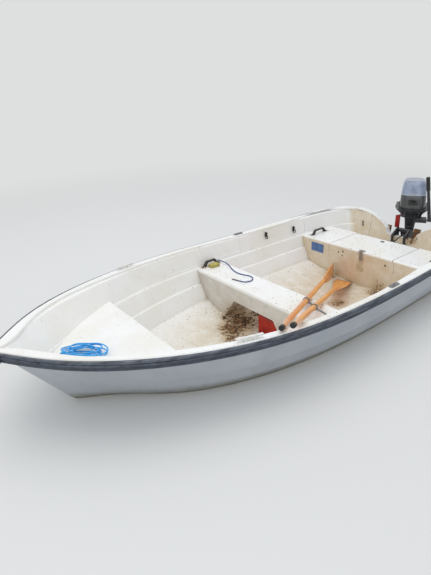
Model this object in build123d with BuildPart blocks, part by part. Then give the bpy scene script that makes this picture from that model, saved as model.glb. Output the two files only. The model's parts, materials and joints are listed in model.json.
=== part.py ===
from build123d import *
import os
from collections import namedtuple
from math import cos, hypot, pi, radians, sin, tan

# Moulded rowing boat, 3.7 m long, with a liner, two seats, a pair of oars and a small outboard motor.
# Millimetres. X runs forward to the bow, Y to port and Z up. The origin is on the waterline,
# on the centreline, half-way along the hull. Places along the boat are given ahead of the stern.

os.makedirs("parts", exist_ok=True)

# Hull
LENGTH = 3680           # transom top to stem head
BEAM = 1594             # over the hull's edges, without the rub rail
SKIN = 9                # outer laminate
SEAM = 0.3              # gap between mouldings that are bonded together
FLOOR_LIP = 0.27        # share of the hull's depth where the floor moulding meets the sides

# Gunwale and rub rail
CAP_RISE = 18           # white gunwale moulding above the hull's edge
CAP_LAP = 3             # how far it stands out over the hull's edge
RAIL_DROP = 38          # rail below the hull's edge
RAIL_OUT = 24           # rail beyond the moulding
RAIL_START = 130        # ahead of the stern
RAIL_LAP = 2.5          # the rail's back within the gunwale moulding's side, before it is cut to fit
RAIL_SECTION = (        # out from the gunwale moulding, and height over the hull's edge
    (0, 12), (0, -38), (14, -38), (20, -31), (17, -25), (22, -19), (24, -8), (19, -2), (22, 4), (17, 12))
CAP_WIDTH = 41          # moulding's width, and its widths at the ends, by station
CAP_WIDTHS = {0: 60, 1: 98, 2: 50, 7: 60, 8: 84}
CAP_EDGE = 5            # chamfer of its edges
BOW_NOSE = 38           # rail's cap at the bow, ahead of the stem

# Transom
TRANSOM_WALL = 45
NOTCH_HEIGHT = 168      # motor cut-out, above the waterline
NOTCH_HALF = 128
NOTCH_CORNER = 30
TRANSOM_CAP = 16        # depth of the moulding along the top edge
REACH = 900             # further than any cut goes through a piece

# Liner and keel
PANEL_DEPTH = 7         # recessed panels of the inner sides
PANELS = ((640, 1350, 208), (1470, 2700, 222))      # ahead of the stern, and lower edge
KEEL_WIDE = 34
KEEL_DEEP = 26
SKEG_DEEP = 62          # keel's depth at its aft end
SKEG_LENGTH = 900

# Thwart, the middle seat
SEAT_EDGE = 14          # rounding of the seats' upper edges
THWART_FRONT = 1983     # ahead of the stern
THWART_DEPTH = 252
THWART_TOP = 208        # above the waterline
TUNNEL_TOP = 70
TUNNEL_HALF_TOP = 214
TUNNEL_HALF_FOOT = 335
TUNNEL_FOOT = -110
TUNNEL_CORNER = 22

# Stern seat, with a locker under a lid
SEAT_FRONT = 705        # ahead of the stern
SEAT_BACK = 288
SEAT_TOP = 194          # above the waterline
LID_HALF = 316
LID_THICK = 22
LID_OVERHANG = 5        # beyond the seat's front, with room behind the hasp
LID_GAP = 6
LID_REST = 0.5
LID_BACK = 300
LID_EDGE = 6
LID_PIN = 4             # radius of the hinge pin
LID_AXIS = (LID_BACK + LID_THICK / 2 - LENGTH / 2, SEAT_TOP - LID_THICK / 2)    # X and height
LID_CATCH_PLACE = 364
HASP_Y = 14
VENT_Y = 13
VENT_Z = 43
VENT_RADIUS = 42
VENT_THICK = 5
LOCKER_HALF = 290
LOCKER_WALL = 34
LOCKER_FLOOR = -85
WELL_FLOOR = 62         # shelf between the stern seat and the transom

# Bow seat
BOW_SEAT_BACK = 2850    # ahead of the stern
BOW_SEAT_TOP = 270

# Fittings
CLEAT_LENGTH = 160
CLEAT_PLACE = 2620      # ahead of the stern
OARLOCK_PLACE = 1446
CLEAT_WIDTH = 17
SOCKET_BORE = 13        # diameter of the oarlock holes
SOCKET_TUBE = 22
SOCKET_PLATE_LENGTH = 92
SOCKET_PLATE_WIDTH = 30
SOCKET_PLATE_THICK = 6
HANDLE_RISE = 44
HANDLE_BAR = 11
HANDLE_WIDTH = 22
HANDLE_FOOT = 26
HANDLE_SLOPE = 34
HANDLES = (             # label, back and front ahead of the stern, half spacing, height of the seat
    ("thwart_handles", 1760, 1945, 664, THWART_TOP),
    ("stern_handles", 440, 660, 592, SEAT_TOP))
HOOKS = ((1155, 77.1, 288), (800, 92.9, 266))       # ahead of the stern, inside the half beam, and height
HOOK_HEIGHT = 72
HOOK_REACH = 34
PADS = ((93, 153, 150, 254), (-196, -146, 140, 238))    # low and high Y, low and high Z
PAD_THICK = 24
SPONGE_AT = (1856, -612)
SPONGE_SIZE = (88, 56, 26)
TANK_ENDS = (1745, 1968)
TANK_TOP = 50

# Oars
OAR_LENGTH = 2040
LOOM = 36               # diameter at the collar
GRIP = 30
GRIP_LENGTH = 150
CAP_LENGTH = 30
NECK = 34
BLADE_WIDTH = 136
BLADE_THICK = 9
BLADE_LENGTH = 700
BLADE_RIDGE = 180       # where the ridge starts, from the tip
COLLAR = 44             # outer diameter
COLLAR_WIDTH = 28
PIN = 12
PIN_LENGTH = 66
Oar = namedtuple("Oar", "name tip end up collar pin")
OARS = (                # tip and end in X ahead of the stern, Y, Z; the blade's normal; collar; its pin
    Oar("starboard", (728, -254.7, -51.5), (2442, 742, 418.8), (-0.522, 0.853, 0), 1355, (0, 0.94, -0.34)),
    Oar("port", (732, -118, -121), (2444, 823, 469.2), (0, 0.103, 1), 1475, (0, 0.97, -0.25)))

# Outboard motor. Heights are above the waterline; X and Y are in the motor's own turned frame.
TILT_X = 22             # tilt rod, ahead of the stern
TILT_Z = 226
TILT_ROD = 8            # radii
TILT_TUBE = 14
STEER_X = -78           # steering axis, ahead of the stern
STEER_AT_REST = 30      # the motor stands turned to port by this angle, in degrees
STEER_SHAFT = 11
SWIVEL_TUBE = 27
SWIVEL_LOW = -70
SWIVEL_HIGH = 200
SWIVEL_WIDE = 92
RUNNING_GAP = 0.35
CLAMP_Y = 62            # middle of each side plate
CLAMP_PLATE = 12
CLAMP_REST = 5          # clear of the transom
CLAMP_FOOT = 84         # lower end of the hooks
CLAMP_ARM = 26
CLAMP_BOSS = 14
CLAMP_PAD = 17
CLAMP_SCREW = 6
CLAMP_SCREW_Z = 110
CLAMP_HANDLE = 74
Level = namedtuple("Level", "z back front wide corner")
LEG = (
    Level(332.7, -172, -36, 120, 40),
    Level(236, -168, -42, 92, 34),
    Level(60, -162, -46, 70, 28),
    Level(-222, -172, -62, 50, 22))
YOKES = ((206, 236, 34, 16), (-97, -75, 25, 16))    # low, high, half width, front
STRUT = (
    Level(-230.3, -176, -56, 44, 20),
    Level(-290, -150, -46, 30, 14),
    Level(-345, -140, -36, 24, 11))
LOWER_COWL = (
    Level(333, -212, 24, 188, 50),
    Level(373, -236, 38, 214, 58),
    Level(400, -260, 58, 266, 68),
    Level(422, -268, 66, 290, 72))
UPPER_COWL = (
    Level(404, -248, 48, 222, 56),
    Level(470, -251, 51, 226, 58),
    Level(526, -250, 48, 222, 58),
    Level(610, -245, 20, 208, 58),
    Level(650, -234, -4, 190, 56),
    Level(670, -208, -36, 148, 50))
COWL_EASE = 8
STARTER_Z = 486
STARTER_WIDE = 86
STARTER_TALL = 50
STARTER_DEEP = 22
PLATE_THICK = 8
PROP_Z = -362
PROP_SHAFT = 8
PROP_BLADES = 3
HUB_FRONT = -155
HUB_BACK = -222
HUB_RADIUS = 24
SKEG_LOW = -462
BLADE_SECTIONS = (       # radius, chord, thickness, pitch angle
    (18, 46, 9, 58), (58, 80, 6, 36), (84, 62, 4, 27), (95, 26, 2, 24))
TILLER_PIVOT = (60, 160, 332)
TILLER_CANT = 9         # it leans towards the cowl by this angle, in degrees
TILLER_LENGTH = 402
TILLER_GRIP = 124
TILLER_WIDE = 32
TILLER_ROOT = 19
TILLER_PIN = 6
GRIP_RADIUS = 17

# Cords. Routes in X ahead of the stern, Y, Z.
LANYARD = 8
LANYARD_ROUTE = (
    (1792, -652.5, 238), (1776, -632, 234), (1757, -603, 224), (1750, -566, 215), (1760, -527, 212.4),
    (1781, -484, 212.4), (1800, -438, 212.4), (1813, -388, 212.4), (1815, -338, 212.4), (1803, -292, 212.4),
    (1786, -252, 212.4), (1786, -214, 212.4), (1808, -182, 212.4), (1844, -165, 212.4), (1880, -174, 212.4),
    (1901, -204, 212.4), (1909, -240, 212.4))
TOGGLE_LENGTH = 58
HOSE = 11
HOSE_ROUTE = (
    (112, 46, 205), (142, 46, 205), (172, 38, 190), (196, 22, 164), (212, -2, 134), (224, -28, 108),
    (248, -50, 92), (287.7, -50, 92))
PILE_AT = (3272, 30)
PILE_TURN = -41         # of its long axis, in degrees
PILE_LENGTH = 330
PILE_WIDTH = 150
PILE_HEIGHT = 40


def ahead(place):
    """X of a place that is given ahead of the stern."""
    return place - LENGTH / 2


# The hull's stations, from the transom to the stem. at: sheer point's share of the length. sheer: its
# height. beam: share of the half beam. foot: keel point ahead of the sheer point. keel: its height.
# full: 1 for a round section, 0 for a vee. lap: plank overlap. wall: factor on thicknesses measured
# straight across. pull: the cockpit's own section, ahead of this one.
Station = namedtuple("Station", "at sheer beam foot keel full lap wall pull")
STATIONS = (
    Station(0.0000, 335, 0.740, 75, -150, 0.96, 2, 0.65, 45),
    Station(0.0122, 336, 0.822, 72, -152, 0.97, 4, 0.85, 35),
    Station(0.0353, 338, 0.868, 62, -155, 1.00, 7, 0.95, 20),
    Station(0.2000, 339, 0.971, 0, -168, 1.00, 8, 1.00, 0),
    Station(0.4000, 338, 1.000, 0, -172, 0.97, 8, 1.00, 0),
    Station(0.6000, 359, 0.977, -40, -170, 0.86, 8, 1.00, 0),
    Station(0.8000, 400, 0.754, -150, -160, 0.55, 7, 1.15, 0),
    Station(0.9300, 438, 0.395, -340, -120, 0.20, 5, 1.40, 0),
    Station(0.9780, 453, 0.163, -310, -48, 0.05, 3, 1.40, -22),
    Station(1.0000, 462, 0.039, -285, 50, 0.00, 1, 1.40, -52),
)

# The planking's edges. height: share of the depth. full and vee: breadth in the two section forms.
Edge = namedtuple("Edge", "height full vee")
EDGES = (
    Edge(1.00, 1.000, 1.000),
    Edge(0.82, 0.985, 0.875),
    Edge(0.64, 0.955, 0.735),
    Edge(0.46, 0.905, 0.580),
    Edge(0.28, 0.825, 0.410),
    Edge(0.10, 0.620, 0.180),
    Edge(0.00, 0.000, 0.000),
)
LAPPED = EDGES[1:5]     # edges with a step
BILGE = EDGES[5]

# The cockpit's inner side: share of the depth, and how far it stands inside the hull's outer side.
SIDE_LINES = ((1.16, 44), (0.715, 64), (0.705, 79), (0.49, 66), (0.48, 82), (0.25, 35))
FLOOR_MID = (0.13, 0.57)        # share of the depth, share of the floor edge's breadth
FLOOR_CENTRE = 0.063


def station_plane(s, pull=0):
    """Plane of a station: its y runs from the keel point up to the sheer point."""
    foot = Vector(ahead(s.at * LENGTH) + s.foot + pull, 0, s.keel)
    return Plane(origin=foot, x_dir=(0, 1, 0), z_dir=(s.sheer - s.keel, 0, s.foot))


def station_depth(s):
    return hypot(s.foot, s.sheer - s.keel)


def breadth(s, height):
    """Half breadth of the hull's outer side at a share of the depth."""
    rows = [(e.height, s.full * e.full + (1 - s.full) * e.vee) for e in EDGES]
    share = rows[0][1]
    for (high, wide), (low, narrow) in zip(rows, rows[1:]):
        if low <= height <= high:
            share = narrow + (wide - narrow) * (height - low) / (high - low)
    return share * s.beam * BEAM / 2


def inside(half, inset):
    """Half breadth less an inset, which fades out where the hull is narrow, so that it stays positive."""
    return half * half / (half + inset)


def both_sides(points, depth):
    """Closed section from (half breadth, share of the depth) pairs that end on the centreline."""
    port = [(y, h * depth) for y, h in points]
    starboard = [(-y, v) for y, v in reversed(port) if y > 0]
    return port + starboard


def loft_sections(sections):
    """Smooth loft through (plane, closed list of points) pairs."""
    with BuildPart() as form:
        for plane, points in sections:
            with BuildSketch(plane):
                with BuildLine():
                    Polyline(*points, close=True)
                make_face()
        loft()
    return form.part


def outer_form():
    sections = []
    for s in STATIONS:
        points = [(breadth(s, 1), 1.08), (breadth(s, 1), 1)]
        for edge in LAPPED:
            y = breadth(s, edge.height)
            points += [(y, edge.height), (y - s.lap, edge.height)]
        points += [(breadth(s, BILGE.height), BILGE.height), (0, 0)]
        sections.append((station_plane(s), both_sides(points, station_depth(s))))
    return loft_sections(sections)


def cavity_form(inset):
    """The hull's inside, its sides an inset within the planking, open above the sheer."""
    sections = []
    for s in STATIONS:
        wall = inset * s.wall
        rise = inset / station_depth(s)
        pull = 1.5 * inset * {STATIONS[0]: 0.7, STATIONS[-1]: -1}.get(s, 0)
        points = [(inside(breadth(s, 1), wall), 1.1)]
        points += [(inside(breadth(s, e.height) - s.lap, wall), e.height) for e in LAPPED]
        points += [(inside(breadth(s, BILGE.height), wall), BILGE.height + rise), (0, rise)]
        sections.append((station_plane(s, pull), both_sides(points, station_depth(s))))
    return loft_sections(sections)


def cockpit_form(ease=0):
    """The open space inside the liner. A positive ease makes it that much wider."""
    sections = []
    for s in STATIONS:
        rise = ease / station_depth(s)
        points = [(inside(breadth(s, h), (inset - ease) * s.wall), h) for h, inset in SIDE_LINES]
        edge_breadth = points[-1][0]
        points += [(FLOOR_MID[1] * edge_breadth, FLOOR_MID[0] - rise), (0, FLOOR_CENTRE - rise)]
        sections.append((station_plane(s, s.pull), both_sides(points, station_depth(s))))
    return loft_sections(sections)


def floor_block():
    """Everything below the line where the floor moulding meets the sides."""
    sections = []
    for s in STATIONS:
        points = [(BEAM, FLOOR_LIP), (BEAM, -0.4)]
        depth = station_depth(s)
        corners = [(y, h * depth) for y, h in points] + [(-y, h * depth) for y, h in reversed(points)]
        sections.append((station_plane(s), corners))
    return loft_sections(sections)


def along(place, column):
    """A station column at a place ahead of the stern, by a cubic through two stations each side."""
    further = [s for s in STATIONS if s.at * LENGTH > place]
    rows = STATIONS[:-len(further)][-2:] + tuple(further[:2])
    total = 0
    for a in rows:
        term = getattr(a, column)
        for b in rows:
            if b is not a:
                term *= (place / LENGTH - b.at) / (a.at - b.at)
        total += term
    return total


def gunwale_y(place):
    return along(place, "beam") * BEAM / 2


def gunwale_z(place):
    return along(place, "sheer") + CAP_RISE


def turned(angle):
    return Vector(cos(radians(angle)), sin(radians(angle)), 0)


def finish_piece(builder, label):
    builder.part.label = label
    export_step(builder.part, f"parts/{label}.step")


OUTER = outer_form()
CAVITY = cavity_form(SKIN)
LINER_BACK = cavity_form(SKIN + SEAM)
COCKPIT = cockpit_form()
SEAT_SPACE = cockpit_form(-SEAM)
MOTOR = Plane(origin=(ahead(STEER_X), 0, 0), x_dir=turned(STEER_AT_REST), z_dir=(0, 0, 1))
MOTOR_SIDE = Plane(origin=MOTOR.origin, x_dir=MOTOR.x_dir, z_dir=-MOTOR.y_dir)
MOTOR_FRONT = Plane(origin=MOTOR.origin, x_dir=MOTOR.y_dir, z_dir=MOTOR.x_dir)
PROP_CENTRE = MOTOR.origin + Vector(0, 0, PROP_Z)
TILLER = Plane(origin=MOTOR.from_local_coords(TILLER_PIVOT), x_dir=MOTOR.x_dir,
               z_dir=MOTOR.z_dir * cos(radians(TILLER_CANT)) - MOTOR.y_dir * sin(radians(TILLER_CANT)))


def block(low, high, mode=Mode.ADD):
    """A box between two corners, in the piece that is being made."""
    size = [b - a for a, b in zip(low, high)]
    with Locations(tuple((a + b) / 2 for a, b in zip(low, high))):
        Box(*size, mode=mode)


def behind(plane, depth):
    """A wide slab that reaches back from a plane."""
    with BuildPart() as slab:
        with BuildSketch(plane):
            Rectangle(3 * BEAM, 3 * BEAM)
        extrude(amount=-depth)
    return slab.part


def above_sheer():
    """The space over the hull's edge, where the mouldings are trimmed."""
    sections = []
    for s in STATIONS:
        points = [(BEAM, 0), (BEAM, REACH), (-BEAM, REACH), (-BEAM, 0)]
        sections.append((edge_plane(s), points))
    stern, stem = STATIONS[0], STATIONS[-1]
    with BuildPart() as space:
        add(loft_sections(sections))
        block((ahead(-REACH), -BEAM, stern.sheer), (ahead(0), BEAM, stern.sheer + REACH))
        block((ahead(LENGTH), -BEAM, stem.sheer), (ahead(LENGTH + REACH), BEAM, stem.sheer + REACH))
    return space.part


def edge_plane(s):
    """Upright plane across the boat, its origin at the height of the hull's edge."""
    return Plane(origin=(ahead(s.at * LENGTH), 0, s.sheer), x_dir=(0, 1, 0), z_dir=(1, 0, 0))


def transom_x(z):
    """How far ahead of the stern the transom's raked outer face is, at a height."""
    s = STATIONS[0]
    return s.foot * (s.sheer - z) / (s.sheer - s.keel)


def transom_edge(lowered=0):
    """The space above the transom's S-shaped top edge, as a prism through the stern."""
    low = NOTCH_HEIGHT - lowered
    half = NOTCH_HALF + lowered
    top = STATIONS[0].sheer + CAP_RISE - lowered
    end = STATIONS[0].beam * BEAM / 2
    with BuildPart() as prism:
        with BuildSketch(Plane.YZ.offset(ahead(-REACH / 2))):
            with BuildLine():
                Line((0, low), (half - NOTCH_CORNER, low))
                corner = ThreePointArc((half - NOTCH_CORNER, low), (half + 0.35 * NOTCH_CORNER, low + 18),
                                       (half + NOTCH_CORNER, low + 56))
                shoulder = ThreePointArc(corner @ 1, (0.52 * end, low + 0.8 * (top - low)), (end, top))
                Polyline(shoulder @ 1, (end, top + REACH), (0, top + REACH), (0, low))
            make_face()
            mirror(about=Plane.YZ)
        extrude(amount=REACH)
    return prism.part


SHEER_CUT = above_sheer()
BOARD_CUT = transom_edge(TRANSOM_CAP)


# Hull mouldings
def make_hull():
    with BuildPart() as hull_shell:
        add(OUTER)
        add(CAVITY, mode=Mode.SUBTRACT)
        add(SHEER_CUT, mode=Mode.SUBTRACT)
        add(BOARD_CUT, mode=Mode.SUBTRACT)
    finish_piece(hull_shell, "hull_shell")


def make_liner():
    stern_space = behind(station_plane(STATIONS[0], TRANSOM_WALL).offset(SEAT_EDGE / 2), REACH)
    low_space = floor_block()
    wider = cockpit_form(PANEL_DEPTH)
    with BuildPart() as liner:
        add(LINER_BACK)
        add(COCKPIT, mode=Mode.SUBTRACT)
        add(SHEER_CUT, mode=Mode.SUBTRACT)
    with BuildPart() as transom_board:
        add(liner.part)
        add(stern_space, mode=Mode.INTERSECT)
        add(BOARD_CUT, mode=Mode.SUBTRACT)
    finish_piece(transom_board, "transom_board")
    with BuildPart() as floor_pan:
        add(liner.part)
        add(stern_space, mode=Mode.SUBTRACT)
        add(low_space, mode=Mode.INTERSECT)
    finish_piece(floor_pan, "floor_pan")
    with BuildPart() as panels:
        for back, front, low in PANELS:
            block((ahead(back), -BEAM, low), (ahead(front), BEAM, REACH))
        add(wider, mode=Mode.INTERSECT)
    for label, keep in (("side_liner_port", Keep.BOTTOM), ("side_liner_starboard", Keep.TOP)):
        with BuildPart() as side:
            add(liner.part)
            add(stern_space, mode=Mode.SUBTRACT)
            add(low_space, mode=Mode.SUBTRACT)
            add(panels.part, mode=Mode.SUBTRACT)
            split(bisect_by=Plane.XZ, keep=keep)
        finish_piece(side, label)


# Gunwale mouldings and rub rails
def edge_moulding(side, profile):
    """A moulding along one side's edge. profile(index, station) gives (half breadth, height) points."""
    sections = []
    for index, s in enumerate(STATIONS):
        sections.append((edge_plane(s), [(side * y, z) for y, z in profile(index, s)]))
    return loft_sections(sections)


def cap_profile(index, s):
    outer = s.beam * BEAM / 2 + CAP_LAP
    inner = outer - CAP_LAP - CAP_WIDTHS.get(index, CAP_WIDTH)
    if s is STATIONS[-1]:
        inner = SEAM
    return [(inner, SEAM), (outer, SEAM), (outer, CAP_RISE - CAP_EDGE), (outer - CAP_EDGE, CAP_RISE),
            (inner + CAP_EDGE, CAP_RISE), (inner, CAP_RISE - CAP_EDGE)]


def rail_profile(index, s):
    edge = s.beam * BEAM / 2 + CAP_LAP - RAIL_LAP
    return [(edge + out * s.wall, up) for out, up in RAIL_SECTION]


def make_edges():
    for side, name in ((1, "port"), (-1, "starboard")):
        with BuildPart() as gunwale:
            add(edge_moulding(side, cap_profile))
            socket_hole(side)
        finish_piece(gunwale, f"gunwale_{name}")
        with BuildPart() as rub_rail:
            add(edge_moulding(side, rail_profile))
            block((ahead(-REACH), -BEAM, -REACH), (ahead(RAIL_START), BEAM, REACH), mode=Mode.SUBTRACT)
            add(Pos(0, side * SEAM, -SEAM) * gunwale.part, mode=Mode.SUBTRACT)
            add(Pos(0, side * SEAM, 0) * OUTER, mode=Mode.SUBTRACT)
        with BuildPart() as whole_rail:
            add(rub_rail.solids().sort_by(SortBy.VOLUME)[-1])
        finish_piece(whole_rail, f"rub_rail_{name}")
    stem = STATIONS[-1]
    half = stem.beam * BEAM / 2 + CAP_LAP + RAIL_OUT * stem.wall
    start = LENGTH / 2 + SEAM
    with BuildPart() as bow_rail:
        with BuildSketch(Plane.XY.offset(stem.sheer - RAIL_DROP)):
            with BuildLine():
                nose = ThreePointArc((start, -half), (start + BOW_NOSE, 0), (start, half))
                Line(nose @ 1, nose @ 0)
            make_face()
        extrude(amount=RAIL_DROP + CAP_RISE - CAP_EDGE)
        fillet(bow_rail.edges().filter_by(GeomType.CIRCLE), CAP_EDGE)
    finish_piece(bow_rail, "bow_rail")


def make_transom_cap():
    end = STATIONS[0].beam * BEAM / 2 - CAP_WIDTHS[0] - SEAM
    with BuildPart() as transom_cap:
        add(behind(station_plane(STATIONS[0], TRANSOM_WALL).offset(CAP_LAP), TRANSOM_WALL + 2 * CAP_LAP))
        add(Pos(0, 0, SEAM) * BOARD_CUT, mode=Mode.INTERSECT)
        add(transom_edge(), mode=Mode.SUBTRACT)
        block((ahead(-REACH), -end, -REACH), (ahead(REACH), end, REACH), mode=Mode.INTERSECT)
    finish_piece(transom_cap, "transom_cap")


def make_keel():
    """Keel strip along the bottom, deeper at the stern."""
    line = [(ahead(s.at * LENGTH) + s.foot, s.keel) for s in STATIONS[1:8]]
    back, front = line[0][0], line[-1][0]
    with BuildPart() as keel_strip:
        with BuildSketch(Plane.XZ.offset(-KEEL_WIDE / 2)):
            with BuildLine():
                under = Polyline((back, line[0][1] - SKEG_DEEP), (back + SKEG_LENGTH, line[3][1] - KEEL_DEEP),
                                 (line[5][0], line[5][1] - KEEL_DEEP), (front, line[-1][1] - KEEL_DEEP / 2))
                Polyline(under @ 1, (front, 0), (back, 0), under @ 0)
            make_face()
        extrude(amount=KEEL_WIDE)
        add(Pos(0, 0, -SEAM) * OUTER, mode=Mode.SUBTRACT)
    finish_piece(keel_strip, "keel_strip")


# Seats
def seat_body(back, front, top, edge=SEAT_EDGE):
    """A seat moulding from side to side and down to the floor, its upper edges rounded."""
    with BuildPart() as body:
        with BuildSketch(Plane.XZ.offset(-BEAM / 2)):
            with Locations((ahead((back + front) / 2), top - REACH / 2)):
                Rectangle(front - back, REACH)
        extrude(amount=BEAM)
        fillet(body.edges().filter_by(Axis.Y).group_by(Axis.Z)[-1], edge)
        add(SEAT_SPACE, mode=Mode.INTERSECT)
    return body.part


def make_thwart():
    back = THWART_FRONT - THWART_DEPTH
    with BuildPart() as thwart:
        add(seat_body(back, THWART_FRONT, THWART_TOP))
        with BuildSketch(Plane.YZ.offset(ahead(back - SEAT_EDGE))):
            with BuildLine():
                Polyline((-TUNNEL_HALF_FOOT, -REACH), (-TUNNEL_HALF_FOOT, TUNNEL_FOOT),
                         (-TUNNEL_HALF_TOP, TUNNEL_TOP), (TUNNEL_HALF_TOP, TUNNEL_TOP),
                         (TUNNEL_HALF_FOOT, TUNNEL_FOOT), (TUNNEL_HALF_FOOT, -REACH), close=True)
            face = make_face()
            fillet(face.vertices().group_by(Axis.Y)[-1], TUNNEL_CORNER)
        extrude(amount=THWART_DEPTH + 2 * SEAT_EDGE, mode=Mode.SUBTRACT)
    finish_piece(thwart, "thwart")


def make_stern_seat():
    rim = SEAT_TOP - LID_THICK - LID_REST
    with BuildPart() as stern_seat:
        add(seat_body(SEAT_BACK, SEAT_FRONT, SEAT_TOP))
        recess_back = ahead(LID_BACK - LID_GAP)
        side = LID_HALF + LID_GAP
        block((recess_back, -side, rim), (ahead(SEAT_FRONT + SEAT_EDGE), side, REACH), mode=Mode.SUBTRACT)
        block((ahead(SEAT_BACK + LOCKER_WALL), -LOCKER_HALF, LOCKER_FLOOR),
              (ahead(SEAT_FRONT - LOCKER_WALL), LOCKER_HALF, REACH), mode=Mode.SUBTRACT)
        with BuildSketch(Plane.XZ.offset(-side)):
            with Locations(LID_AXIS):
                Circle(LID_PIN)
        extrude(amount=2 * side)
    finish_piece(stern_seat, "stern_seat")
    with BuildPart() as stern_well:
        add(seat_body(-SEAT_BACK, SEAT_BACK - SEAM, WELL_FLOOR, edge=4))
    finish_piece(stern_well, "stern_well")
    with BuildPart() as bow_seat:
        add(seat_body(BOW_SEAT_BACK, LENGTH, BOW_SEAT_TOP))
    finish_piece(bow_seat, "bow_seat")


def make_lid():
    with BuildPart() as locker_lid:
        with BuildSketch(Plane.XZ.offset(-LID_HALF)):
            front = ahead(SEAT_FRONT + LID_OVERHANG)
            with Locations(((LID_AXIS[0] + front) / 2, LID_AXIS[1])):
                Rectangle(front - LID_AXIS[0], LID_THICK)
            with Locations(LID_AXIS):
                Circle(LID_THICK / 2)
        extrude(amount=2 * LID_HALF)
        fillet(locker_lid.edges().filter_by(Axis.Y).group_by(Axis.X)[-1].group_by(Axis.Z)[-1], LID_EDGE)
        with BuildSketch(Plane.XZ.offset(-LID_HALF)):
            with Locations(LID_AXIS):
                Circle(LID_PIN + RUNNING_GAP)
        extrude(amount=2 * LID_HALF, mode=Mode.SUBTRACT)
    finish_piece(locker_lid, "locker_lid")
    with BuildPart() as lid_hasp:
        x = ahead(SEAT_FRONT + LID_OVERHANG)
        block((x - 40, HASP_Y - 26, SEAT_TOP + SEAM), (x + SEAM + 2, HASP_Y + 26, SEAT_TOP + SEAM + 2))
        block((x + SEAM, HASP_Y - 13, SEAT_TOP - 80), (x + SEAM + 2, HASP_Y + 13, SEAT_TOP + SEAM + 2))
    finish_piece(lid_hasp, "lid_hasp")
    with BuildPart() as lid_catch:
        with BuildSketch(Plane.XY.offset(SEAT_TOP + SEAM)):
            with Locations((ahead(LID_CATCH_PLACE), 0)):
                Ellipse(14, 20)
        extrude(amount=4, taper=30)
    finish_piece(lid_catch, "lid_catch")
    with BuildPart() as locker_vent:
        with BuildSketch(Plane.YZ.offset(ahead(SEAT_FRONT) + SEAM)):
            with Locations((VENT_Y, VENT_Z)):
                Circle(VENT_RADIUS)
        extrude(amount=VENT_THICK, taper=25)
        with BuildSketch(Plane.YZ.offset(ahead(SEAT_FRONT) + SEAM + VENT_THICK)):
            with Locations(*[(VENT_Y, VENT_Z + step * 12) for step in range(-2, 3)]):
                Rectangle(44, 4)
        extrude(amount=-VENT_THICK / 2, mode=Mode.SUBTRACT)
    finish_piece(locker_vent, "locker_vent")


# Fittings
def make_handles():
    """Arched grab handles, a pair on each seat."""
    for label, back, front, y, top in HANDLES:
        middle = (ahead(back) + ahead(front)) / 2
        span = front - back
        with BuildPart() as handles:
            for side in (1, -1):
                with BuildSketch(Plane.XZ.offset(-side * y - HANDLE_WIDTH / 2)):
                    for grow, mode in ((HANDLE_BAR, Mode.ADD), (0, Mode.SUBTRACT)):
                        half = span / 2 - HANDLE_FOOT + grow
                        low = top + SEAM - (0 if grow else SEAT_EDGE)
                        high = top + SEAM + HANDLE_RISE - HANDLE_BAR + grow
                        with BuildLine():
                            Polyline((middle - half, low), (middle - half + HANDLE_SLOPE, high),
                                     (middle + half - HANDLE_SLOPE, high), (middle + half, low), close=True)
                        make_face(mode=mode)
                extrude(amount=HANDLE_WIDTH)
                for end in (-1, 1):
                    x = middle + end * (span / 2 - HANDLE_FOOT / 2)
                    block((x - HANDLE_FOOT / 2, side * y - HANDLE_WIDTH / 2, top + SEAM),
                          (x + HANDLE_FOOT / 2, side * y + HANDLE_WIDTH / 2, top + SEAM + 5))
        finish_piece(handles, label)


def make_cleats():
    """Horn cleats on the gunwales: two posts under a bar whose horns rise a little."""
    with BuildPart() as cleats:
        for side in (1, -1):
            y = side * (gunwale_y(CLEAT_PLACE) - CAP_WIDTH / 2)
            base = gunwale_z(CLEAT_PLACE)
            slope = (gunwale_z(CLEAT_PLACE + 40) - gunwale_z(CLEAT_PLACE - 40)) / 80
            turn = (gunwale_y(CLEAT_PLACE + 40) - gunwale_y(CLEAT_PLACE - 40)) / 80 * side
            foot = Plane(origin=(ahead(CLEAT_PLACE), y, base), x_dir=(1, turn, slope), z_dir=(-slope, 0, 1))
            upright = Plane(origin=foot.origin, x_dir=foot.x_dir, z_dir=-foot.y_dir)
            half = CLEAT_LENGTH / 2
            with BuildSketch(upright.offset(-CLEAT_WIDTH / 2)):
                with BuildLine():
                    Polyline((-38, 0), (-20, 0), (-20, 11), (20, 11), (20, 0), (38, 0), (31, 11), (half, 17),
                             (half, 24), (24, 23), (-24, 23), (-half, 24), (-half, 17), (-31, 11), close=True)
                outline = make_face()
                fillet(outline.vertices(), 2.5)
            extrude(amount=CLEAT_WIDTH)
    finish_piece(cleats, "cleats")


def socket_hole(side):
    """The hole for an oarlock socket, cut in the gunwale moulding that is being made."""
    x = ahead(OARLOCK_PLACE)
    y = side * (gunwale_y(OARLOCK_PLACE) - CAP_WIDTH / 2)
    with Locations((x, y, gunwale_z(OARLOCK_PLACE))):
        Cylinder(SOCKET_TUBE / 2 + SEAM, 4 * CAP_RISE, mode=Mode.SUBTRACT)


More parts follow.
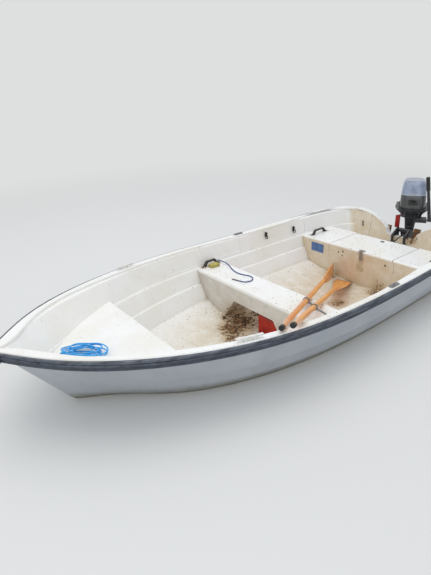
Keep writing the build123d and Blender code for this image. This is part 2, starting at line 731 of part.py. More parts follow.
def make_sockets():
    top = gunwale_z(OARLOCK_PLACE) + 1
    with BuildPart() as oarlock_sockets:
        for side in (1, -1):
            y = side * (gunwale_y(OARLOCK_PLACE) - CAP_WIDTH / 2)
            with BuildSketch(Plane.XY.offset(top)):
                with Locations((ahead(OARLOCK_PLACE), y)):
                    RectangleRounded(SOCKET_PLATE_LENGTH, SOCKET_PLATE_WIDTH, 8)
            extrude(amount=SOCKET_PLATE_THICK)
            with BuildSketch(Plane.XY.offset(top - CAP_RISE + 1)):
                with Locations((ahead(OARLOCK_PLACE), y)):
                    Circle(SOCKET_TUBE / 2)
            extrude(amount=CAP_RISE + SOCKET_PLATE_THICK)
            with Locations((ahead(OARLOCK_PLACE), y, top)):
                Cylinder(SOCKET_BORE / 2, 4 * CAP_RISE, mode=Mode.SUBTRACT)
    finish_piece(oarlock_sockets, "oarlock_sockets")


def make_hooks():
    """Two open clips on the starboard side, made as J-shaped straps."""
    with BuildPart() as side_hooks:
        for place, inset, z in HOOKS:
            y = inset - BEAM / 2
            half = HOOK_HEIGHT / 2
            for wide, y_low, y_high, z_low, z_high in (
                    (22, 0, 6, -half, half), (16, 0, HOOK_REACH, -half, 8 - half),
                    (16, HOOK_REACH - 7, HOOK_REACH, -half, -6), (16, 0, 24, 14, 22)):
                block((ahead(place) - wide / 2, y + y_low, z + z_low),
                      (ahead(place) + wide / 2, y + y_high, z + z_high))
    finish_piece(side_hooks, "side_hooks")


def make_pads():
    """Wooden blocks on the transom's outer face, one each side of the motor."""
    with BuildPart() as transom_pads:
        for y_low, y_high, z_low, z_high in PADS:
            rake = (transom_x(z_low) - transom_x(z_high)) / (z_high - z_low)
            face = ahead(transom_x(z_low)) - CAP_LAP - 2 * SEAM
            with BuildSketch(Plane.XZ.offset(-y_high)):
                with BuildLine():
                    Polyline((face, z_low), (face - rake * (z_high - z_low), z_high),
                             (face - rake * (z_high - z_low) - PAD_THICK, z_high), (face - PAD_THICK, z_low),
                             close=True)
                make_face()
            extrude(amount=y_high - y_low)
    finish_piece(transom_pads, "transom_pads")


# Loose gear in the boat
def make_tank():
    back, front = TANK_ENDS
    with BuildPart() as fuel_tank:
        with BuildSketch(Plane.YZ.offset(ahead(back))):
            with BuildLine():
                Polyline((48, -REACH / 2), (262, -REACH / 2), (262, -42), (205, TANK_TOP), (48, TANK_TOP),
                         close=True)
            face = make_face()
            fillet(face.vertices().group_by(Axis.Y)[1:], 16)
        extrude(amount=front - back)
        add(SEAT_SPACE, mode=Mode.INTERSECT)
    finish_piece(fuel_tank, "fuel_tank")
    with BuildPart() as tank_cap:
        with BuildSketch(Plane.XY.offset(TANK_TOP + SEAM)):
            with Locations((ahead((back + front) / 2 + 40), 126)):
                RegularPolygon(28, 12)
        extrude(amount=13, taper=8)
    finish_piece(tank_cap, "tank_cap")


def make_sponge():
    x, y = SPONGE_AT
    length, width, height = SPONGE_SIZE
    with BuildPart() as sponge:
        with BuildSketch(Plane.XY.offset(THWART_TOP + SEAM)):
            with Locations((ahead(x), y)):
                RectangleRounded(length, width, 9)
        extrude(amount=height)
        fillet(sponge.edges().group_by(Axis.Z)[-1], 6)
    finish_piece(sponge, "sponge")


def oar_flat(oar):
    """Plane of an oar's blade: origin at the tip, x along the oar."""
    start = Vector(ahead(oar.tip[0]), oar.tip[1], oar.tip[2])
    end = Vector(ahead(oar.end[0]), oar.end[1], oar.end[2])
    run = (end - start).normalized()
    up = Vector(*oar.up)
    return Plane(origin=start, x_dir=run, z_dir=up - run * run.dot(up))


def across_oar(oar, place):
    """Plane across an oar at a distance from its tip."""
    flat = oar_flat(oar)
    return Plane(origin=flat.origin + flat.x_dir * place, x_dir=flat.y_dir, z_dir=flat.x_dir)


def make_oar(oar):
    flat = oar_flat(oar)
    half = BLADE_WIDTH / 2
    neck = NECK / 2
    grip_start = OAR_LENGTH - GRIP_LENGTH
    shaft_end = OAR_LENGTH - CAP_LENGTH
    with BuildPart() as whole:
        with BuildSketch(Plane(origin=flat.origin, x_dir=flat.x_dir, z_dir=-flat.y_dir)):
            with BuildLine():
                Polyline((BLADE_RIDGE, 0), (BLADE_LENGTH, neck), (OAR_LENGTH / 2, LOOM / 2),
                         (grip_start, LOOM / 2), (grip_start + 20, GRIP / 2), (shaft_end, GRIP / 2),
                         (shaft_end, 0), close=True)
            make_face()
        revolve(axis=Axis(flat.origin, flat.x_dir))
        with BuildSketch(flat.offset(-BLADE_THICK / 2)):
            with BuildLine():
                edge = Polyline((6, 0), (6, half - 14), (26, half), (300, 0.86 * half),
                                (BLADE_LENGTH - 90, neck + 3), (BLADE_LENGTH, neck - 6), (BLADE_LENGTH, 0))
                mirror(edge, about=Plane.XZ)
            make_face()
        extrude(amount=BLADE_THICK)
    finish_piece(whole, f"oar_{oar.name}")
    clamp = across_oar(oar, oar.collar)
    pin_way = Vector(*oar.pin)
    pin_way = pin_way - flat.x_dir * flat.x_dir.dot(pin_way)
    with BuildPart() as collar:
        with BuildSketch(Plane(origin=clamp.origin, x_dir=flat.x_dir, z_dir=pin_way).offset(COLLAR / 2 - 2)):
            Circle(PIN / 2)
        extrude(amount=PIN_LENGTH)
        with BuildSketch(clamp):
            Circle(COLLAR / 2)
        extrude(amount=COLLAR_WIDTH / 2, both=True)
        with BuildSketch(clamp):
            Circle(LOOM / 2 + SEAM)
        extrude(amount=COLLAR_WIDTH, both=True, mode=Mode.SUBTRACT)
    finish_piece(collar, f"oar_collar_{oar.name}")


def make_oars():
    for oar in OARS:
        make_oar(oar)
    with BuildPart() as oar_caps:
        for oar in OARS:
            with BuildSketch(across_oar(oar, OAR_LENGTH - CAP_LENGTH + SEAM)):
                Circle(GRIP / 2 + 1)
            extrude(amount=CAP_LENGTH - SEAM)
    finish_piece(oar_caps, "oar_caps")


# Outboard motor
def motor_level(level):
    """Rounded rectangle across the motor at a height."""
    with BuildSketch(MOTOR.offset(level.z)) as section:
        with Locations(((level.back + level.front) / 2, 0)):
            RectangleRounded(level.front - level.back, level.wide, level.corner)
    return section.sketch


def motor_loft(levels):
    return loft([motor_level(level) for level in levels])


def make_clamp():
    """Bracket over the transom: two side plates that carry the tilt rod, and a clamp screw in each."""
    inner = ahead(transom_x(CLAMP_SCREW_Z - CLAMP_PAD) + TRANSOM_WALL)
    top = NOTCH_HEIGHT + CLAMP_REST
    hook = ahead(transom_x(CLAMP_FOOT) + TRANSOM_WALL) + CLAMP_REST
    aft = ahead(transom_x(0)) - CLAMP_REST
    low_aft = transom_x(0) - transom_x(top)
    tilt = ahead(TILT_X)
    with BuildPart() as clamp_bracket:
        for side in (1, -1):
            with BuildSketch(Plane.XZ.offset(-side * CLAMP_Y - CLAMP_PLATE / 2)):
                with BuildLine():
                    Polyline((aft, 0), (aft - low_aft, top), (hook, top), (hook, CLAMP_FOOT),
                             (hook + CLAMP_ARM, CLAMP_FOOT), (hook + CLAMP_ARM, top + 18),
                             (tilt + 30, TILT_Z + 8), (tilt + 12, TILT_Z + 20), (tilt - 14, TILT_Z + 18),
                             (tilt - 24, TILT_Z), (aft - 50, 0), close=True)
                outline = make_face()
                fillet(outline.vertices().group_by(Axis.Y)[-2:], 6)
            extrude(amount=CLAMP_PLATE)
            with BuildSketch(Plane.YZ.offset(hook)):
                with Locations((side * CLAMP_Y, CLAMP_SCREW_Z)):
                    Circle(CLAMP_BOSS)
            extrude(amount=CLAMP_ARM)
            with BuildSketch(Plane.YZ.offset(hook)):
                with Locations((side * CLAMP_Y, CLAMP_SCREW_Z)):
                    Circle(CLAMP_SCREW + SEAM)
            extrude(amount=CLAMP_ARM, mode=Mode.SUBTRACT)
        block((aft - 44, -CLAMP_Y, 6), (aft - 26, CLAMP_Y, 26))
        with BuildSketch(Plane.XZ.offset(-CLAMP_Y - CLAMP_PLATE / 2 - 3)):
            with Locations((tilt, TILT_Z)):
                Circle(TILT_ROD)
        extrude(amount=2 * CLAMP_Y + CLAMP_PLATE + 6)
        clip = HOSE_ROUTE[0]
        block((ahead(clip[0]) - 22, clip[1] - 8, clip[2] - 9),
              (ahead(clip[0]) - SEAM, CLAMP_Y - CLAMP_PLATE / 2, clip[2] + 9))
    finish_piece(clamp_bracket, "clamp_bracket")
    with BuildPart() as clamp_screws:
        for side in (1, -1):
            start = Plane.YZ.offset(inner + SEAM)
            for radius, length in ((CLAMP_PAD, 4), (CLAMP_SCREW, 92)):
                with BuildSketch(start):
                    with Locations((side * CLAMP_Y, CLAMP_SCREW_Z)):
                        Circle(radius)
                extrude(amount=length)
            with Locations((inner + 88, side * CLAMP_Y, CLAMP_SCREW_Z)):
                Cylinder(5, CLAMP_HANDLE)
    finish_piece(clamp_screws, "clamp_screws")


def make_swivel():
    """Swivel bracket: a cross tube on the tilt rod, and arms to the upright steering tube."""
    with BuildPart() as swivel_bracket:
        with BuildSketch(Plane.XY.offset(SWIVEL_LOW)):
            with Locations((ahead(STEER_X), 0)):
                Circle(SWIVEL_TUBE)
        extrude(amount=SWIVEL_HIGH - SWIVEL_LOW)
        with BuildSketch(Plane.XZ.offset(-SWIVEL_WIDE / 2)):
            x = ahead(STEER_X)
            tilt = ahead(TILT_X)
            with BuildLine():
                Polyline((x, 60), (x, SWIVEL_HIGH - 6), (x + 52, SWIVEL_HIGH - 6), (tilt - 20, TILT_Z + 12),
                         (tilt, TILT_Z + 14), (tilt, TILT_Z - 14), (tilt - 30, TILT_Z - 42), (x + 34, 84),
                         close=True)
            make_face()
            with Locations((tilt, TILT_Z)):
                Circle(TILT_TUBE)
        extrude(amount=SWIVEL_WIDE)
        with BuildSketch(Plane.XZ.offset(-SWIVEL_WIDE)):
            with Locations((tilt, TILT_Z)):
                Circle(TILT_ROD + RUNNING_GAP)
        extrude(amount=2 * SWIVEL_WIDE, mode=Mode.SUBTRACT)
        with BuildSketch(Plane.XY.offset(SWIVEL_LOW)):
            with Locations((x, 0)):
                Circle(STEER_SHAFT + RUNNING_GAP)
        extrude(amount=REACH, mode=Mode.SUBTRACT)
    finish_piece(swivel_bracket, "swivel_bracket")


def make_leg():
    with BuildPart(MOTOR) as motor_leg:
        motor_loft(LEG)
        for low, high, half, front in YOKES:
            block((LEG[1].front - 20, -half, low), (front, half, high))
        with BuildSketch(MOTOR.offset(YOKES[1][0])):
            Circle(STEER_SHAFT)
        extrude(amount=YOKES[0][1] - YOKES[1][0])
    finish_piece(motor_leg, "motor_leg")
    with BuildPart(MOTOR) as splash_plate:
        with BuildSketch(MOTOR.offset(LEG[-1].z - SEAM)):
            with BuildLine():
                Polyline((-262, -64), (-262, 64), (-120, 80), (-58, 58), (-34, 0), (-58, -58), (-120, -80),
                         close=True)
            face = make_face()
            fillet(face.vertices(), 14)
        extrude(amount=-PLATE_THICK)
    finish_piece(splash_plate, "splash_plate")
    with BuildPart(MOTOR) as gearcase:
        motor_loft(STRUT)
        with BuildSketch(MOTOR_SIDE):
            with BuildLine():
                nose = ThreePointArc((34, PROP_Z), (10, PROP_Z + 24), (-34, PROP_Z + 35))
                Polyline(nose @ 1, (-104, PROP_Z + 35), (HUB_FRONT + 3, PROP_Z + 29),
                         (HUB_FRONT + 3, PROP_Z + PROP_SHAFT), (HUB_BACK - 8, PROP_Z + PROP_SHAFT),
                         (HUB_BACK - 8, PROP_Z), nose @ 0)
            make_face()
        revolve(axis=Axis(PROP_CENTRE, MOTOR.x_dir))
        with BuildSketch(MOTOR_SIDE):
            with BuildLine():
                Polyline((-6, PROP_Z - 20), (-112, PROP_Z - 20), (-136, SKEG_LOW + 12), (-128, SKEG_LOW),
                         (-84, SKEG_LOW), close=True)
            make_face()
        extrude(amount=4, both=True)
    finish_piece(gearcase, "gearcase")


def make_propeller():
    axis = MOTOR.x_dir
    with BuildPart() as propeller:
        with BuildSketch(Plane(origin=PROP_CENTRE + axis * HUB_BACK, x_dir=MOTOR.y_dir, z_dir=axis)):
            Circle(HUB_RADIUS)
        extrude(amount=HUB_FRONT - HUB_BACK)
        for number in range(PROP_BLADES):
            turn = radians(360 * number / PROP_BLADES + 20)
            out = MOTOR.y_dir * cos(turn) + Vector(0, 0, 1) * sin(turn)
            across = axis.cross(out)
            sections = []
            for radius, chord, thick, pitch in BLADE_SECTIONS:
                lean = radians(pitch)
                plane = Plane(origin=PROP_CENTRE + axis * ((HUB_FRONT + HUB_BACK) / 2) + out * radius,
                              x_dir=axis * sin(lean) + across * cos(lean), z_dir=out)
                points = [(-chord / 2, 0), (-chord / 5, thick / 2), (chord / 4, thick / 2), (chord / 2, 0),
                          (chord / 4, -thick / 2), (-chord / 5, -thick / 2)]
                sections.append((plane, points))
            add(loft_sections(sections))
        with BuildSketch(Plane(origin=PROP_CENTRE + axis * HUB_BACK, x_dir=MOTOR.y_dir, z_dir=axis)):
            Circle(PROP_SHAFT + RUNNING_GAP)
        extrude(amount=REACH, both=True, mode=Mode.SUBTRACT)
    finish_piece(propeller, "propeller")


def make_cowls():
    with BuildPart(MOTOR) as lower_cowl:
        motor_loft(LOWER_COWL)
        with BuildSketch(MOTOR.offset(UPPER_COWL[0].z - SEAM)):
            base = UPPER_COWL[0]
            with Locations(((base.back + base.front) / 2, 0)):
                RectangleRounded(base.front - base.back + 2 * COWL_EASE, base.wide + 2 * COWL_EASE,
                                 base.corner)
        extrude(amount=REACH, mode=Mode.SUBTRACT)
    finish_piece(lower_cowl, "lower_cowl")
    with BuildPart(MOTOR) as upper_cowl:
        motor_loft(UPPER_COWL)
        with BuildSketch(MOTOR_FRONT.offset(UPPER_COWL[1].front - STARTER_DEEP)):
            with Locations((0, STARTER_Z)):
                RectangleRounded(STARTER_WIDE, STARTER_TALL, 10)
        extrude(amount=REACH, mode=Mode.SUBTRACT)
    finish_piece(upper_cowl, "upper_cowl")
    with BuildPart(MOTOR) as starter_handle:
        back = UPPER_COWL[1].front - STARTER_DEEP + SEAM
        block((back, -6, STARTER_Z - 6), (back + 12, 6, STARTER_Z + 6))
        block((back + 10, -26, STARTER_Z - 9), (back + 24, 26, STARTER_Z + 9))
        fillet(starter_handle.edges().filter_by(Axis.Z), 4)
    finish_piece(starter_handle, "starter_handle")


def make_tiller():
    x, y, z = TILLER_PIVOT
    with BuildPart(MOTOR) as tiller_bracket:
        block((-30, 40, z - 26), (x + 22, y - 22, LOWER_COWL[0].z - SEAM))
        with BuildSketch(MOTOR_SIDE.offset(-y - 20)):
            with Locations((x, z)):
                Circle(TILLER_PIN)
        extrude(amount=44)
        with BuildSketch(MOTOR_SIDE.offset(-y - 20)):
            with Locations((x, z)):
                Circle(TILLER_PIN + 5)
        extrude(amount=-4)
    finish_piece(tiller_bracket, "tiller_bracket")
    grip_start = TILLER_LENGTH - TILLER_GRIP
    with BuildPart(MOTOR) as tiller_arm:
        with BuildSketch(MOTOR_SIDE.offset(-y - TILLER_WIDE / 2)):
            with Locations((x, z)):
                Circle(TILLER_ROOT)
        extrude(amount=TILLER_WIDE)
        loft([tiller_level(0, 32, TILLER_WIDE), tiller_level(grip_start - SEAM, 24, 24)])
        with BuildSketch(MOTOR_SIDE.offset(-y - TILLER_WIDE)):
            with Locations((x, z)):
                Circle(TILLER_PIN + RUNNING_GAP)
        extrude(amount=2 * TILLER_WIDE, mode=Mode.SUBTRACT)
    finish_piece(tiller_arm, "tiller_arm")
    with BuildPart() as tiller_grip:
        with BuildSketch(TILLER.offset(grip_start)):
            Circle(GRIP_RADIUS)
        extrude(amount=TILLER_GRIP)
        fillet(tiller_grip.edges().filter_by(GeomType.CIRCLE), 4)
    finish_piece(tiller_grip, "tiller_grip")


def tiller_level(height, deep, wide):
    with BuildSketch(TILLER.offset(height)) as section:
        RectangleRounded(deep, wide, 8)
    return section.sketch


# Cords
def make_cord(label, route, diameter):
    """A tube along straight runs joined by arcs, each as large as its two runs allow."""
    points = [Vector(ahead(x), y, z) for x, y, z in route]
    radii = []
    for a, b, c in zip(points, points[1:], points[2:]):
        half_turn = radians((b - a).get_angle(c - b)) / 2
        radii.append(0.45 * min((b - a).length, (c - b).length) / tan(half_turn))
    print(label, "radii", [round(radius) for radius in radii])
    with BuildPart() as cord:
        with BuildLine():
            path = FilletPolyline(*points, radius=radii)
        with BuildSketch(Plane(origin=points[0], z_dir=points[1] - points[0])):
            Circle(diameter / 2)
        sweep()
    share = cord.part.volume / (path.length * pi * diameter ** 2 / 4)
    print(label, "length", round(path.length), "volume over section times length", round(share, 4))
    finish_piece(cord, label)


def make_cords():
    make_cord("thwart_lanyard", LANYARD_ROUTE, LANYARD)
    make_cord("fuel_hose", HOSE_ROUTE, HOSE)
    before, last = [Vector(ahead(x), y, z) for x, y, z in LANYARD_ROUTE[-2:]]
    with BuildPart() as lanyard_toggle:
        with BuildSketch(Plane(origin=last, z_dir=last - before)):
            Circle(LANYARD / 2)
        extrude(amount=TOGGLE_LENGTH)
    finish_piece(lanyard_toggle, "lanyard_toggle")
    x, y = PILE_AT
    with BuildPart() as bow_rope:
        levels = []
        for share, height in ((1.0, 0), (0.96, 0.45), (0.62, 1.0)):
            with BuildSketch(Plane.XY.offset(BOW_SEAT_TOP + SEAM + height * PILE_HEIGHT)) as level:
                with Locations((ahead(x), y)):
                    Ellipse(PILE_LENGTH / 2 * share, PILE_WIDTH / 2 * share, rotation=PILE_TURN)
            levels.append(level.sketch)
        loft(levels)
    finish_piece(bow_rope, "bow_rope")


make_hull()
make_liner()
make_edges()
make_transom_cap()
make_keel()
make_thwart()
make_stern_seat()
make_lid()
make_handles()
make_cleats()
make_sockets()
make_hooks()
make_pads()
make_tank()
make_sponge()
make_oars()
make_clamp()
make_swivel()
make_leg()
make_propeller()
make_cowls()
make_tiller()
make_cords()
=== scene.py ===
"""Looks for the moulded rowing boat: finishes, cords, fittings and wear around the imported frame. Metres."""
import json
import math

import bmesh
import bpy
from mathutils import Matrix, Vector, noise
from mathutils.bvhtree import BVHTree


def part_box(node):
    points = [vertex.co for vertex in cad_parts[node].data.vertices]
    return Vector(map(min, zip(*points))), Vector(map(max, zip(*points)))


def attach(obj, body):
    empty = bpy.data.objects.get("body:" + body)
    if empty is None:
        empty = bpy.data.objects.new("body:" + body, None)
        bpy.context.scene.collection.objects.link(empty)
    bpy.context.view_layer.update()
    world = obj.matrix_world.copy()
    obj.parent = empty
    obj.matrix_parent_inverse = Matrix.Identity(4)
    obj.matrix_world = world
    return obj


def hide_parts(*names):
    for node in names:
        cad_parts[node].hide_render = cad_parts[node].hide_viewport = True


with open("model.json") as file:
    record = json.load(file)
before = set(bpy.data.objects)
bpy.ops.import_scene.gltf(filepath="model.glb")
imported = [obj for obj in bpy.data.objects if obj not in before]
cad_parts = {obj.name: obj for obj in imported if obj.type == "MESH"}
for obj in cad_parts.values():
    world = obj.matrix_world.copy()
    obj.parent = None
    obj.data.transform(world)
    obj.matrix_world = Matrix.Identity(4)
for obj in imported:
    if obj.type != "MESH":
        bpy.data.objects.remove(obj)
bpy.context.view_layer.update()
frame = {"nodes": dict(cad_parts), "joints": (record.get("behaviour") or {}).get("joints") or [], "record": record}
NODES = frame["nodes"]

STERN_X = -1.84         # the stern, from which places along the boat are counted
WATER_Z = 0.0


def boat(x, y, z):
    """A point from millimetres: ahead of the stern, to port of the middle, above the water."""
    return Vector((STERN_X + x / 1000, y / 1000, z / 1000))


THWART_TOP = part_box("thwart")[1][2]
SEAT_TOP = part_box("stern_seat")[1][2]
SEAT_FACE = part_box("stern_seat")[1][0]
BOW_SEAT_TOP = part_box("bow_seat")[1][2]


# Camera, at the photograph's place
CAMERA_AT = (2.0748, 2.1674, 1.6117)
CAMERA_RIGHT = (-0.78772, 0.61381, -0.05225)
CAMERA_DOWN = (0.29577, 0.30243, -0.90612)
CAMERA_LENS = 27.78
SENSOR_HEIGHT = 36
VIEW_REACH = 60         # how far the camera sees, and the floor goes


def placed(name, data):
    """A new object in the scene."""
    thing = bpy.data.objects.new(name, data)
    bpy.context.scene.collection.objects.link(thing)
    return thing


def make_camera():
    data = bpy.data.cameras.new("camera")
    data.sensor_fit = "VERTICAL"
    data.sensor_height = SENSOR_HEIGHT
    data.lens = CAMERA_LENS
    data.clip_end = VIEW_REACH
    camera = placed("camera", data)
    right, down = Vector(CAMERA_RIGHT), Vector(CAMERA_DOWN)
    back = right.cross(-down)
    axes = Matrix((right, -down, back)).transposed().to_4x4()
    camera.matrix_world = Matrix.Translation(CAMERA_AT) @ axes
    bpy.context.scene.camera = camera


make_camera()


# Shader helpers
def tone(red, green, blue):
    """A colour given as 0 to 255 display values, as the linear colour that shaders take."""
    def linear(value):
        share = value / 255
        return share / 12.92 if share <= 0.04045 else ((share + 0.055) / 1.055) ** 2.4
    return (linear(red), linear(green), linear(blue), 1)


class Finish:
    """A material under construction. Most methods add nodes and return the output they end in."""

    def __init__(self, name, rough=0.5, coordinates="Object", **shader):
        self.material = bpy.data.materials.new(name)
        self.material.use_nodes = True
        self.tree = self.material.node_tree
        self.shader = self.tree.nodes["Principled BSDF"]
        self.shader.inputs["Roughness"].default_value = rough
        for socket, value in shader.items():
            self.shader.inputs[socket.replace("_", " ")].default_value = value
        self.place = self.tree.nodes.new("ShaderNodeTexCoord").outputs[coordinates]
        self.base = None

    def feed(self, socket, value):
        """Links a socket to an output, or sets it to a plain value."""
        if isinstance(value, bpy.types.NodeSocket):
            self.tree.links.new(value, socket)
        else:
            socket.default_value = value

    def node(self, kind, inputs=(), **settings):
        made = self.tree.nodes.new(kind)
        for key, value in settings.items():
            setattr(made, key, value)
        for key, value in dict(inputs).items():
            self.feed(made.inputs[key], value)
        return made

    def calc(self, operation, a, b=0.0):
        return self.node("ShaderNodeMath", {0: a, 1: b}, operation=operation).outputs[0]

    def chain(self, operation, values):
        found, *others = values
        for other in others:
            found = self.calc(operation, found, other)
        return found

    def times(self, *values):
        return self.chain("MULTIPLY", values)

    def plus(self, *values):
        return self.chain("ADD", values)

    def most(self, *values):
        return self.chain("MAXIMUM", values)

    def vector(self, operation, a, b, output="Vector"):
        return self.node("ShaderNodeVectorMath", {0: a, 1: b}, operation=operation).outputs[output]

    def parts(self, vector):
        return self.node("ShaderNodeSeparateXYZ", {0: vector}).outputs

    def combined(self, x, y, z):
        return self.node("ShaderNodeCombineXYZ", {0: x, 1: y, 2: z}).outputs[0]

    def axis(self, name):
        return self.parts(self.place)[name]

    def facing(self, name):
        """How far the surface faces along an axis, from -1 to 1."""
        return self.parts(self.node("ShaderNodeNewGeometry").outputs["Normal"])[name]

    def scaled(self, factors, shift=(0, 0, 0), at=None):
        inputs = {"Vector": at or self.place, "Scale": factors, "Location": shift}
        return self.node("ShaderNodeMapping", inputs).outputs[0]

    def noise(self, scale, detail=4, rough=0.6, at=None, distortion=0):
        inputs = {"Vector": at or self.place, "Scale": scale, "Detail": detail, "Roughness": rough,
                  "Distortion": distortion}
        return self.node("ShaderNodeTexNoise", inputs).outputs[0]

    def cells(self, scale):
        """Distance to the nearest of many scattered points, as a share of their spacing."""
        return self.node("ShaderNodeTexVoronoi", {"Vector": self.place, "Scale": scale}).outputs["Distance"]

    def span(self, value, low, high, to_low=0.0, to_high=1.0):
        """Maps low..high to to_low..to_high, clamped and smooth."""
        inputs = {"Value": value, "From Min": low, "From Max": high, "To Min": to_low, "To Max": to_high}
        return self.node("ShaderNodeMapRange", inputs, interpolation_type="SMOOTHSTEP").outputs[0]

    def near(self, point, inner, outer, at=None):
        """1 within inner of a point, fading to 0 at outer."""
        away = self.vector("DISTANCE", at or self.place, point, "Value")
        return self.span(away, inner, outer, 1.0, 0.0)

    def crease(self, reach, open_from, shut_at):
        """1 in corners and grooves, where the surface within reach shuts out the light."""
        light = self.node("ShaderNodeAmbientOcclusion", {"Distance": reach}, samples=8).outputs["AO"]
        return self.span(light, open_from, shut_at)

    def mix(self, share, a, b):
        return self.node("ShaderNodeMix", {0: share, 6: a, 7: b}, data_type="RGBA").outputs[2]

    def blend(self, value, low, high, a, b):
        """Colour a where a value is at low or under, b at high or over."""
        return self.mix(self.span(value, low, high), a, b)

    def paint(self, colour):
        """Sets the base colour."""
        self.base = colour
        self.join("Base Color", colour)

    def cover(self, share, colour):
        """Lays another colour over the base colour, by a share from 0 to 1."""
        self.paint(self.mix(share, self.base, colour))

    def join(self, socket, value):
        self.feed(self.shader.inputs[socket], value)

    def bump(self, height, depth):
        """Surface relief whose height of 1 is depth metres."""
        self.join("Normal", self.node("ShaderNodeBump", {"Height": height, "Distance": depth}).outputs[0])


SMOOTH_ANGLE = 32       # degrees; a sharper edge stays sharp


def smooth(thing):
    mesh = thing.data
    mesh.polygons.foreach_set("use_smooth", [True] * len(mesh.polygons))
    mesh.set_sharp_from_angle(angle=math.radians(SMOOTH_ANGLE))


def dress(material, node):
    """Gives a carried-over CAD node its finish."""
    thing = NODES[node]
    thing.data.materials.clear()
    thing.data.materials.append(material)
    smooth(thing)


# Meshes
def finished(name, builder, outward=True):
    """The mesh of a finished builder, with its faces turned outward unless they already are."""
    if outward:
        bmesh.ops.recalc_face_normals(builder, faces=builder.faces)
    mesh = bpy.data.meshes.new(name)
    builder.to_mesh(mesh)
    builder.free()
    return mesh


def place_mesh(name, mesh, material, body, slot, *replaced):
    thing = placed(name, mesh)
    mesh.materials.append(material)
    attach(thing, body)
    if replaced:
        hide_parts(*replaced)
    return thing


# Studio: floor at the waterline with a hole for the hull, backdrop, lamps
BACKDROP = tone(222, 223, 223)
FLOOR_COLOUR = tone(226, 226, 224)
FLOOR_FADE = (2.6, 8.0)         # distances over which the floor turns into the backdrop
STATION = 0.05                  # spacing of the hull's outline at the water
HULL_INSET = 0.006              # by which the floor reaches into the hull's skin
LEAST_HALF_BREADTH = 0.004
DENT = 0.9                      # an outline point under this share of both neighbours is skipped
SKY_COLOUR = (0.93, 0.96, 1.0, 1)
SKY_STRENGTH = 0.75
LAMPS = (                       # name, place, size, power
    ("sky_lamp", (0.5, -1.0, 6.0), 6.0, 130),
    ("side_lamp", (4.0, 3.0, 3.0), 3.0, 25))


def waterline():
    """The hull's outline at the water, from the hull moulding, as (x, half breadth) pairs."""
    mesh = NODES["hull_shell"].data
    widest = {}
    for edge in mesh.edges:
        a, b = (mesh.vertices[i].co for i in edge.vertices)
        if (a.z - WATER_Z) * (b.z - WATER_Z) < 0:
            point = a.lerp(b, (WATER_Z - a.z) / (b.z - a.z))
            station = round(point.x / STATION)
            if abs(point.y) > widest.get(station, (0, 0))[1]:
                widest[station] = (point.x, abs(point.y))
    found = [widest[station] for station in sorted(widest)]
    before = found[:1] + found[:-1]
    after = found[1:] + found[-1:]
    kept = [point for point, last, following in zip(found, before, after)
            if point[1] >= DENT * min(last[1], following[1])]
    return [(x, max(y - HULL_INSET, LEAST_HALF_BREADTH)) for x, y in kept]


def make_floor():
    side = waterline()
    outline = [Vector((x, y, WATER_Z)) for x, y in side]
    outline += [Vector((x, -y, WATER_Z)) for x, y in reversed(side)]
    builder = bmesh.new()
    inner = [builder.verts.new(point) for point in outline]
    rim = [builder.verts.new(point.normalized() * VIEW_REACH) for point in outline]
    edges = [builder.edges.new((loop[i], loop[(i + 1) % len(loop)]))
             for loop in (inner, rim) for i in range(len(loop))]
    bmesh.ops.triangle_fill(builder, use_beauty=True, edges=edges, normal=(0, 0, 1))
    mesh = finished("studio_floor", builder, outward=False)
    floor = Finish("studio_floor", rough=0.9)
    floor.paint(FLOOR_COLOUR)
    far = floor.node("ShaderNodeVectorMath", {0: floor.place}, operation="LENGTH").outputs["Value"]
    glow = floor.node("ShaderNodeEmission", {"Color": BACKDROP})
    layers = {0: floor.span(far, *FLOOR_FADE), 1: floor.shader.outputs[0], 2: glow.outputs[0]}
    blend = floor.node("ShaderNodeMixShader", layers)
    floor.tree.links.new(blend.outputs[0], floor.tree.nodes["Material Output"].inputs[0])
    mesh.materials.append(floor.material)
    placed("studio_floor", mesh)


def make_world():
    """Soft sky light on the object, and the plain backdrop for the camera, gloss and glass."""
    world = bpy.data.worlds.new("studio")
    bpy.context.scene.world = world
    world.use_nodes = True
    tree = world.node_tree
    sky = tree.nodes["Background"]
    sky.inputs["Color"].default_value = SKY_COLOUR
    sky.inputs["Strength"].default_value = SKY_STRENGTH
    seen = tree.nodes.new("ShaderNodeBackground")
    seen.inputs["Color"].default_value = BACKDROP
    ray = tree.nodes.new("ShaderNodeLightPath").outputs
    shows = ray["Is Camera Ray"]
    for kind in ("Is Glossy Ray", "Is Transmission Ray"):
        either = tree.nodes.new("ShaderNodeMath")
        either.operation = "MAXIMUM"
        tree.links.new(shows, either.inputs[0])
        tree.links.new(ray[kind], either.inputs[1])
        shows = either.outputs[0]
    choice = tree.nodes.new("ShaderNodeMixShader")
    for socket, value in zip(choice.inputs, (shows, sky.outputs[0], seen.outputs[0])):
        tree.links.new(value, socket)
    tree.links.new(choice.outputs[0], tree.nodes["World Output"].inputs[0])


def make_lamps():
    for name, at, size, power in LAMPS:
        lamp = bpy.data.lights.new(name, "AREA")
        lamp.size = size
        lamp.energy = power
        thing = placed(name, lamp)
        thing.location = at
        thing.rotation_euler = (-Vector(at)).to_track_quat("-Z", "Y").to_euler()


make_floor()
make_world()
make_lamps()
bpy.context.scene.view_settings.view_transform = "Standard"


